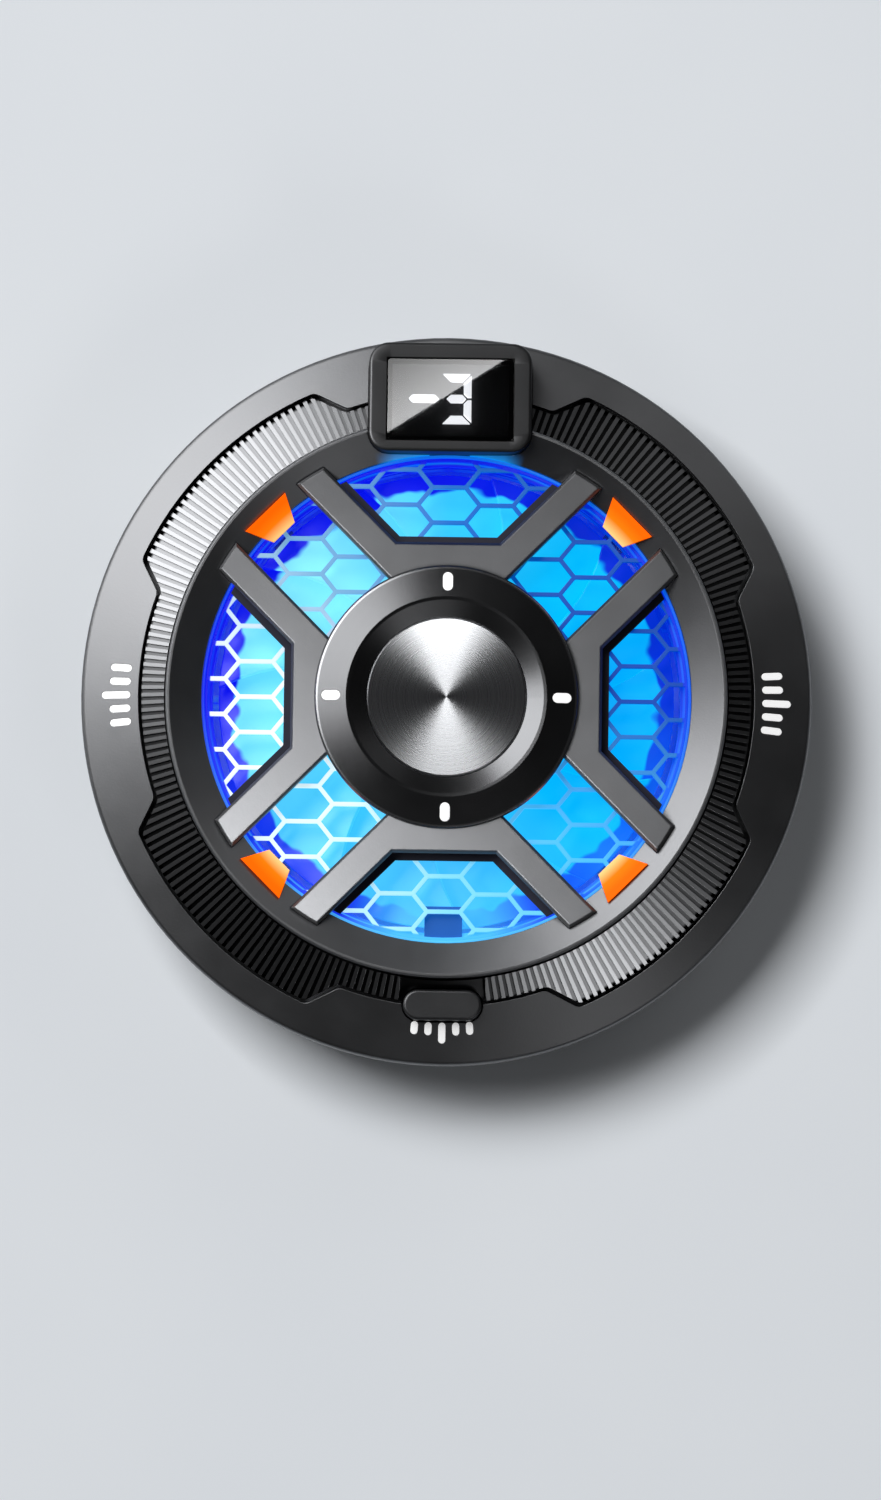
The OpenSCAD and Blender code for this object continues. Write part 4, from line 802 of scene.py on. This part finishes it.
def ribbed_paint_and_shade(name, colour, roughness):
    made, tree, shader = new_material(name, metallic=1.0)
    low_r, high_r = radii_of("ribbed_ring")
    points = points_of("ribbed_ring")
    inner_z = max(p.z for p in points)
    outer_z = max(p.z for p in points if math.hypot(p.x, p.y) > high_r - OUTER_BAND)
    slope = (inner_z - outer_z) / (high_r - low_r)
    axis = grouped(tree, AXIS)
    fall = maths(tree, "MULTIPLY", maths(tree, "SUBTRACT", axis["Reach"], low_r), slope)
    ridge = maths(tree, "SUBTRACT", inner_z, fall)
    depth = maths(tree, "SUBTRACT", ridge, axis["Height"])
    below_ridge = share(tree, depth, GROOVE_START, GROOVE_END)
    # Painted shade in the grooves, with a painted highlight at the upper left and the lower right.
    groove_shade = ramp(tree, axis["Turn"], [(place, shade(colour, tone)) for place, tone in GROOVE_SHADE_TONES])
    ridges_and_painted_shade = blend(tree, below_ridge, colour, groove_shade)
    # Painted shadow of the cover on the outer end of each groove.
    at_end = share(tree, axis["Reach"], high_r - SHADOWED_TAIL, high_r - SHADOWED_TAIL / 2)
    painted_end_shadow = maths(tree, "MULTIPLY", below_ridge, at_end)
    surface(tree, shader, blend(tree, painted_end_shadow, ridges_and_painted_shade, BLACK), roughness, bump=0.0, edge=0.02 * MM, vary=0.04)
    return made


materials["rib_graphite"] = ribbed_paint_and_shade("rib_graphite", shade(GRAPHITE, 1.4), roughness=0.3)
print("ribs:", len(materials["rib_graphite"].node_tree.nodes), "nodes")

# %% [markdown]
# The hub wears the same paint, with a painted highlight along its outer edge. A ring of its own could
# carry that rim. A mask on the distance from the axis is enough, because the hub is round.

# %% Mix the paint of the hub
HUB_RIM = 0.36 * MM
RIM_SOFT = 0.25
RIM_HIGHLIGHT_TONE = 2.6


def highlit_rim_paint(name, colour, roughness):
    made, tree, shader = new_material(name, metallic=1.0)
    outer_r = radii_of("hub_cap")[1]
    rim_r = outer_r - HUB_RIM
    at_rim = share(tree, grouped(tree, AXIS)["Reach"], rim_r, rim_r + HUB_RIM * RIM_SOFT)
    # Painted highlight: a lighter ring along the hub's outer edge.
    surface(tree, shader, blend(tree, at_rim, colour, shade(colour, RIM_HIGHLIGHT_TONE)), roughness, bump=0.03)
    return made


materials["hub_graphite"] = highlit_rim_paint("hub_graphite", shade(GRAPHITE, 0.7), roughness=0.25)
print("hub:", len(materials["hub_graphite"].node_tree.nodes), "nodes")

# %% [markdown]
# The walls of the well round the glass are painted black as painted shade. The mask is a rectangle
# about the window.

# %% Mix the paint of the display frame
WELL_RIM = 0.08 * MM


def shaded_well_paint(name, colour, roughness):
    made, tree, shader = new_material(name, metallic=0.9)
    split = add(tree, "ShaderNodeSeparateXYZ", {0: place_in(tree)})
    across = maths(tree, "ABSOLUTE", split.outputs[0])
    along = maths(tree, "ABSOLUTE", maths(tree, "SUBTRACT", split.outputs[1], window_y))
    in_width = maths(tree, "LESS_THAN", across, window_w / 2 + WELL_RIM)
    in_length = maths(tree, "LESS_THAN", along, window_l / 2 + WELL_RIM)
    shade_in_well = maths(tree, "MULTIPLY", in_width, in_length)
    # Painted shade: the walls of the well are painted black.
    surface(tree, shader, blend(tree, shade_in_well, colour, BLACK), roughness, bump=0.05)
    return made


materials["frame_graphite"] = shaded_well_paint("frame_graphite", shade(GRAPHITE, 0.2), roughness=0.42)
print("masked paints:", [name for name in materials if name not in FINISHES])

# %% [markdown]
# ## Spun metal
#
# The disc in the middle of the hub is metal with turning marks. Such marks stretch every highlight
# across them, so two bright fans of light lie opposite each other on the disc. That is what anisotropy
# is for, with its tangent running round the axis. Rings of noise along the radius add the marks.

# %% Mix the spun metal
STRETCH = 0.97
QUARTER_TURN = 0.25
MARKS_PER_M = 9000
MARK_TONES = (0.8, 1.15)
MARK_GLOSS = (0.85, 1.2)


def turned_metal(name, colour, roughness):
    made, tree, shader = new_material(name, metallic=1.0)
    shader.inputs["Anisotropic"].default_value = STRETCH
    shader.inputs["Anisotropic Rotation"].default_value = QUARTER_TURN
    along = maths(tree, "MULTIPLY", grouped(tree, AXIS)["Reach"], MARKS_PER_M)
    rings = add(tree, "ShaderNodeTexNoise", {"W": along, "Scale": 1.0, "Detail": 4.0}, noise_dimensions="1D")
    marks = rings.outputs["Fac"]
    dark, pale = (shade(colour, tone) for tone in MARK_TONES)
    tree.links.new(blend(tree, marks, dark, pale), shader.inputs["Base Color"])
    smooth, rough = (roughness * gloss for gloss in MARK_GLOSS)
    tree.links.new(spread(tree, marks, smooth, rough), shader.inputs["Roughness"])
    tangent = add(tree, "ShaderNodeTangent", direction_type="RADIAL", axis="Z")
    tree.links.new(tangent.outputs[0], shader.inputs["Tangent"])
    return made


materials["badge_spun"] = turned_metal("badge_spun", (0.6, 0.61, 0.63, 1.0), roughness=0.27)
print("spun metal:", materials["badge_spun"].name)

# %% [markdown]
# ## The blue glow
#
# Small lamps under the rim light the blades, the duct and the honeycomb. The glow isn't even: it is
# cyan at the left, azure at the right and deep royal blue in broken patches along the rim. Lamps could
# be placed inside, but light bounced between so many thin walls renders slowly. Emission that follows
# the place round the axis gives the same picture, and stays with the piece.

# %% The recipe for a glow
RIM_START = 18.9 * MM
RIM_END = 19.3 * MM
PATCH_SCALE = 380.0
PATCH_REACH = 1.4 * MM
DULLED = 0.6


def emit(tree, shader, colours, strength):
    tree.links.new(colours, shader.inputs["Emission Color"])
    shader.inputs["Emission Strength"].default_value = strength


def glowing(name, inner, rim, strength, start=RIM_START, end=RIM_END, broken=PATCH_REACH):
    """Plastic that glows in one set of colours round the axis, and in another set towards its rim."""
    made, tree, shader = new_material(name)
    axis = grouped(tree, AXIS)
    noise = {"Vector": place_in(tree), "Scale": PATCH_SCALE, "Detail": 1.0}
    patches = add(tree, "ShaderNodeTexNoise", noise).outputs["Fac"]
    reach = maths(tree, "ADD", axis["Reach"], spread(tree, patches, -broken, broken))
    at_rim = share(tree, reach, start, end, interpolation_type="SMOOTHSTEP")
    colours = blend(tree, at_rim, ramp(tree, axis["Turn"], inner), ramp(tree, axis["Turn"], rim))
    emit(tree, shader, colours, strength)
    surface(tree, shader, blend(tree, DULLED, colours, BLACK), roughness=0.4, wear_and_sheen=0.0, vary=0.1)
    return made


print("rim glow starts at", round(RIM_START / MM, 1), "mm")

# %% [markdown]
# Each row below is a stop on a colour ramp: the turn about the axis, from the left through the bottom, and
# the colour there. The honeycomb is nearly white at the left, a painted highlight where the key lamp
# falls, and dark blue at the right, painted shade.

# %% Mix the glowing plastics
BLADE_GLOW = [
    (0.0, srgb(95, 212, 240)),
    (0.13, srgb(60, 195, 245)),
    (0.25, srgb(70, 192, 248)),
    (0.38, srgb(0, 190, 255)),
    (0.52, srgb(0, 178, 255)),
    (0.64, srgb(0, 198, 255)),
    (0.75, srgb(55, 204, 255)),
    (0.87, srgb(130, 230, 250)),
    (1.0, srgb(95, 212, 240)),
]
RIM_GLOW = [
    (0.0, srgb(6, 14, 226)),
    (0.13, srgb(10, 60, 230)),
    (0.18, srgb(20, 50, 228)),
    (0.22, srgb(66, 178, 246)),
    (0.28, srgb(66, 178, 246)),
    (0.32, srgb(25, 70, 232)),
    (0.38, srgb(15, 120, 245)),
    (0.5, srgb(0, 52, 208)),
    (0.66, srgb(0, 42, 208)),
    (0.75, srgb(6, 20, 226)),
    (1.0, srgb(6, 14, 226)),
]
# Painted light and shade on the honeycomb: white at the left where the key falls, dark blue at the right.
COMB_GLOW_LIGHT_AND_SHADE = [
    (0.0, srgb(238, 248, 255)),
    (0.14, srgb(215, 245, 255)),
    (0.25, srgb(128, 214, 250)),
    (0.36, srgb(72, 185, 250)),
    (0.5, srgb(0, 66, 168)),
    (0.64, srgb(0, 74, 172)),
    (0.75, srgb(0, 100, 192)),
    (0.88, srgb(112, 165, 205)),
    (1.0, srgb(238, 248, 255)),
]
LIP_GLOW = [
    (0.0, srgb(20, 45, 232)),
    (0.25, srgb(80, 192, 248)),
    (0.5, srgb(10, 88, 225)),
    (0.75, srgb(10, 112, 225)),
    (1.0, srgb(20, 45, 232)),
]
CLIP_GLOW = [(0.0, srgb(8, 96, 190)), (1.0, srgb(8, 96, 190))]
COMB_RIM_START = 0.5 * MM
COMB_RIM_END = 0.35 * MM
COMB_BROKEN = 0.05 * MM

comb_r = radii_of("honeycomb_grille")[1]
sharp = dict(start=comb_r - COMB_RIM_START, end=comb_r - COMB_RIM_END, broken=COMB_BROKEN)
materials["fan_blue"] = glowing("fan_blue", BLADE_GLOW, RIM_GLOW, strength=0.82)
materials["duct_blue"] = glowing("duct_blue", RIM_GLOW, RIM_GLOW, strength=0.7)
materials["clip_blue"] = glowing("clip_blue", CLIP_GLOW, CLIP_GLOW, strength=0.5)
materials["grille_cyan"] = glowing("grille_cyan", COMB_GLOW_LIGHT_AND_SHADE, RIM_GLOW, strength=0.85, **sharp)
materials["guide_clear"] = glowing("guide_clear", RIM_GLOW, LIP_GLOW, strength=0.85, **sharp)
print("materials with the glowing plastics:", len(materials))

# %% [markdown]
# Some of the light spills on its neighbours: the bezel is blue right under the display, and so are the
# fins of the heat sink and the fan's leads below the gap round the fan. They only need a mask round the
# axis.

# %% Spill the glow
SPILL_W = 1.0 * MM
SPILL_TURN = 0.042
SPILL_SOFT = 0.15
DISPLAY_TURN = 0.75
FIN_START = 19.5 * MM
DISPLAY_BLUE = srgb(0, 140, 230)
DUCT_BLUE = srgb(4, 20, 200)


def spill(name, colour, strength, start, end, turn=None):
    """Lets a finish glow from full at one distance from the axis to none at another."""
    tree = materials[name].node_tree
    axis = grouped(tree, AXIS)
    mask = share(tree, axis["Reach"], end, start)
    if turn:
        aside = maths(tree, "ABSOLUTE", maths(tree, "SUBTRACT", axis["Turn"], DISPLAY_TURN))
        below_display = share(tree, aside, turn * (1 + SPILL_SOFT), turn * (1 - SPILL_SOFT))
        mask = maths(tree, "MULTIPLY", mask, below_display)
    emit(tree, tree.nodes["Principled BSDF"], blend(tree, mask, BLACK, colour), strength)


opening_r = radii_of("bezel_ring")[0]
under_display = dict(start=opening_r, end=opening_r + SPILL_W, turn=SPILL_TURN)
below_gap = dict(start=tip_r, end=FIN_START)
spill("bezel_graphite", DISPLAY_BLUE, strength=0.8, **under_display)
spill("aluminium", DUCT_BLUE, strength=0.5, **below_gap)
spill("lead_white", DUCT_BLUE, strength=0.6, **below_gap)
print("opening radius in mm:", round(opening_r / MM, 2))

# %% [markdown]
# ## Marks, tabs and the display
#
# The digits and the lenses of the small lamps inside glow. The white marks glow as well, as painted light.
# The digits are the brightest, because they shine through smoked glass.

# %% Mix the lit whites
LIT_WHITE = (0.9, 0.9, 0.9, 1.0)
LIT_TONES = (0.94, 1.04)


def lit(name, colour, strength):
    made, tree, shader = new_material(name)
    fine = grouped(tree, GRAIN, Size=0.15 * MM)
    dim, bright = (shade(colour, tone) for tone in LIT_TONES)
    emit(tree, shader, blend(tree, fine["Tone"], dim, bright), strength)
    surface(tree, shader, colour, roughness=0.4, wear_and_sheen=0.0, vary=0.04)
    return made


# Painted light: the white marks glow though they are no lamp.
materials["mark_white"] = lit("mark_white", LIT_WHITE, strength=0.35)
materials["digit_white"] = lit("digit_white", LIT_WHITE, strength=4.6)
materials["lamp_lens"] = lit("lamp_lens", srgb(250, 246, 210), strength=1.0)
print("lit:", [name for name in materials if "white" in name or "lens" in name])

# %% [markdown]
# The four accent tabs go from a painted highlight in peach at their inner end to deep orange, and they
# glow a little as painted light. They could have two materials. A ramp along the distance from the axis
# gives the soft change between them.

# %% Mix the orange of the tabs
# Peach at the inner end is a painted highlight.
TAB_COLOURS_AND_HIGHLIGHT = [(0.0, srgb(250, 190, 120)), (0.4, srgb(252, 113, 6)), (0.75, srgb(250, 94, 0))]


def glowing_tab_orange(name):
    made, tree, shader = new_material(name)
    tab_ri, tab_ro = radii_of("accent_tabs")
    colours = ramp(tree, share(tree, grouped(tree, AXIS)["Reach"], tab_ri, tab_ro), TAB_COLOURS_AND_HIGHLIGHT)
    shader.inputs["Specular IOR Level"].default_value = 0.05
    # Painted light: the tabs glow though they are no lamp.
    emit(tree, shader, colours, strength=0.5)
    surface(tree, shader, colours, roughness=0.6, wear_and_sheen=0.0, vary=0.05)
    return made


materials["accent_orange"] = glowing_tab_orange("accent_orange")
print("tabs:", len(TAB_COLOURS_AND_HIGHLIGHT), "colours")

# %% [markdown]
# The window over the digits is smoked glass, dark until something bright lies behind it or is mirrored in
# it. A see-through grey would look milky, so it is real glass with a dark tint.

# %% Mix the smoked glass
SMOKE_DARK = (0.2, 0.205, 0.215, 1.0)
SMOKE_PALE = (0.23, 0.235, 0.245, 1.0)
GLASS_HAZE = 0.02


def smoked_glass(name):
    made, tree, shader = new_material(name)
    shader.inputs["Transmission Weight"].default_value = 1.0
    shader.inputs["IOR"].default_value = 1.5
    tone = grouped(tree, GRAIN, Size=0.4 * MM)["Tone"]
    tree.links.new(blend(tree, tone, SMOKE_DARK, SMOKE_PALE), shader.inputs["Base Color"])
    tree.links.new(spread(tree, tone, 0.0, GLASS_HAZE), shader.inputs["Roughness"])
    return made


materials["window_smoke"] = smoked_glass("window_smoke")
print("materials:", len(materials))

# %% [markdown]
# ## Dress the pieces
#
# Every solid names a slot in its record, so the finishes are handed out by slot. The pieces modelled
# above take the slot that they were given.

# %% Hand out the finishes
slot_of = {part["node"]: part["material_slot"] for part in frame["record"]["subparts"]}
modelled = (pad, impeller, key, bezel)
for name, solid in NODES.items():
    solid.data.materials.clear()
    solid.data.materials.append(materials[slot_of[name]])
for piece in modelled:
    piece.data.materials.clear()
    piece.data.materials.append(materials[piece["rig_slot"]])
print("dressed:", len(NODES), "solids and", len(modelled), "modelled pieces")

# %% [markdown]
# ## The floor
#
# The fan lies on a plain pale floor. A large plane is enough, with a faint tone so that it isn't one
# flat colour. It lies a hair below the pad, so that the two don't share a plane.

# %% Lay the floor
FLOOR_SIZE = 6
FLOOR_GAP = 0.02 * MM

bpy.ops.object.select_all(action="DESELECT")
bpy.ops.mesh.primitive_plane_add(size=FLOOR_SIZE, location=(0, 0, -FLOOR_GAP))
floor = bpy.context.active_object
floor.name = "floor"
floor_paint, floor_tree, floor_shader = new_material("floor_pale")
floor_tone = grouped(floor_tree, GRAIN, Size=2 * MM)["Tone"]
floor_tones = blend(floor_tree, floor_tone, srgb(226, 231, 237), srgb(236, 240, 244))
floor_tree.links.new(floor_tones, floor_shader.inputs["Base Color"])
floor_shader.inputs["Roughness"].default_value = 0.8
floor.data.materials.append(floor_paint)
print("floor laid", FLOOR_GAP / MM, "mm below the fan")

# %% [markdown]
# ## The lights
#
# Satin metal shows its lights more than its own colour, so the lights make the picture. Point lamps would
# leave hard dots on it, so every lamp is a flat softbox. Each hangs at an angle round the middle of the
# front, and may be linked to some pieces only.

# %% Make a softbox


def aim(azimuth, polar, distance, target):
    """A place round a target. Azimuth counts from +X towards +Y, polar from straight up, in degrees."""
    a, p = math.radians(azimuth), math.radians(polar)
    return target + Vector((math.sin(p) * math.cos(a), math.sin(p) * math.sin(a), math.cos(p))) * distance


def area_lamp(name, place, target, size, radiance, only=None, without=None):
    """A flat lamp of a given radiance that may light some pieces only, or all but some."""
    data = bpy.data.lights.new(name, "AREA")
    data.shape = "RECTANGLE"
    data.size, data.size_y = size
    data.energy = radiance * math.pi * size[0] * size[1]
    lamp = bpy.data.objects.new(name, data)
    bpy.context.scene.collection.objects.link(lamp)
    lamp.location = place
    lamp.rotation_euler = (place - target).to_track_quat("Z", "Y").to_euler()
    lamp.visible_camera = False
    if only or without:
        group = bpy.data.collections.new(name + "_lights")
        for piece in only or without:
            group.objects.link(piece)
        if without:
            for link in group.collection_objects:
                link.light_linking.link_state = "EXCLUDE"
        lamp.light_linking.receiver_collection = group
    return lamp


def softbox(name, azimuth, polar, size, radiance, distance=0.5, **linked):
    """Hangs a lamp by its azimuth and its polar angle. Its size and its distance are in metres."""
    return area_lamp(name, aim(azimuth, polar, distance, face_centre), face_centre, size, radiance, **linked)


print("softboxes aim at a height of", round(face_centre.z / MM, 1), "mm")

# %% [markdown]
# A large softbox at the upper left is the key. A weak fill at the upper right keeps the right side from
# going black, and a small box at the lower right lights the funnel there. A long low box grazes the outer
# edges. The floor, the ribs, the display frame, the hub, the guard and the spun disc have lamps of their
# own, because each needs its light from another angle or in another amount.

# %% Hang the lights
badge = NODES["hub_badge"]
glass = NODES["display_glass"]
guard = NODES["guard_frame"]
ribs = NODES["ribbed_ring"]
hub = NODES["hub_cap"]
softbox("key", 140, 42, (0.42, 0.42), 6.4, without=[badge, guard, hub, floor])
softbox("floor_key", 140, 25, (0.6, 0.6), 17.0, distance=1.5, only=[floor])
softbox("fill", 48, 58, (0.25, 0.25), 0.8, without=[badge, ribs])
softbox("low_fill", 300, 46, (0.14, 0.12), 2.6, without=[badge, guard, ribs])
softbox("rib_fill", 48, 58, (0.25, 0.25), 0.3, only=[ribs])
softbox("rib_strip", 303, 58, (0.2, 0.12), 10.5, only=[ribs])
softbox("edge_wall", 150, 87, (1.2, 0.2), 2.5, distance=0.8, without=[badge, guard, ribs])
softbox("frame_edge", 182, 50, (0.3, 0.2), 42.0, distance=0.6, only=[bezel])
softbox("hub_key", 150, 41, (0.36, 0.36), 6.6, only=[hub])
softbox("hub_fill", 290, 45, (0.3, 0.3), 0.55, only=[hub])
softbox("guard_key", 140, 42, (0.42, 0.42), 2.3, only=[guard])
softbox("guard_lamp", 220, 33, (0.05, 0.05), 8.5, distance=0.072, only=[guard])
softbox("guard_fill", 90, 5, (0.3, 0.3), 0.25, only=[guard])
softbox("badge_lamp", 92, 22, (0.016, 0.016), 7.4, distance=0.05, only=[badge])
print("softboxes:", len(bpy.data.lights))

# %% [markdown]
# The display glass mirrors a panel with a slanted edge, which lays a grey triangle over one half of the
# window. The panel hangs where the camera's line of sight goes after it is mirrored at the glass, and its
# light fades away from the slanted edge.

# %% Hang the panel that the glass mirrors
PANEL_H = 0.4
PANEL_SIZE = 0.03
PANEL_TURN = math.radians(32.6)
PANEL_GLOW = 8.0
EDGE_SHIFT = 0.7 * MM
FADE_START = 0.68
FADED = 0.35
UNFADED = 1.3

glass_top = Vector((0, window_y, glass_high.z))
sight = camera.matrix_world.translation - glass_top
mirrored = Vector((-sight.x, -sight.y, sight.z)) * (PANEL_H / sight.z)
off_edge = Vector((-math.sin(PANEL_TURN), math.cos(PANEL_TURN), 0)) * (PANEL_SIZE / 2 + EDGE_SHIFT)
panel_place = glass_top + mirrored + off_edge
panel_size = (PANEL_SIZE, PANEL_SIZE)
below = panel_place - Vector((0, 0, 1))
panel = area_lamp("glass_panel", panel_place, below, panel_size, PANEL_GLOW, only=[glass])
panel.rotation_euler.z += PANEL_TURN
panel.data.use_nodes = True
glow_tree = panel.data.node_tree
across = add(glow_tree, "ShaderNodeNewGeometry").outputs["Parametric"]
split = add(glow_tree, "ShaderNodeSeparateXYZ", {0: across})
fading = {"Value": split.outputs[1], "From Min": FADE_START, "To Min": FADED, "To Max": UNFADED}
glow = add(glow_tree, "ShaderNodeMapRange", fading)
glow_tree.links.new(glow.outputs[0], glow_tree.nodes["Emission"].inputs["Strength"])
print("panel at", [round(x, 3) for x in panel.location])

# %% [markdown]
# The rest of the room is dim, so that the paint can go almost black where it mirrors no lamp.

# %% Dim the room
ROOM = (0.02, 0.02, 0.021, 1.0)

world = bpy.data.worlds.new("studio")
world.use_nodes = True
world.node_tree.nodes["Background"].inputs["Color"].default_value = ROOM
bpy.context.scene.world = world
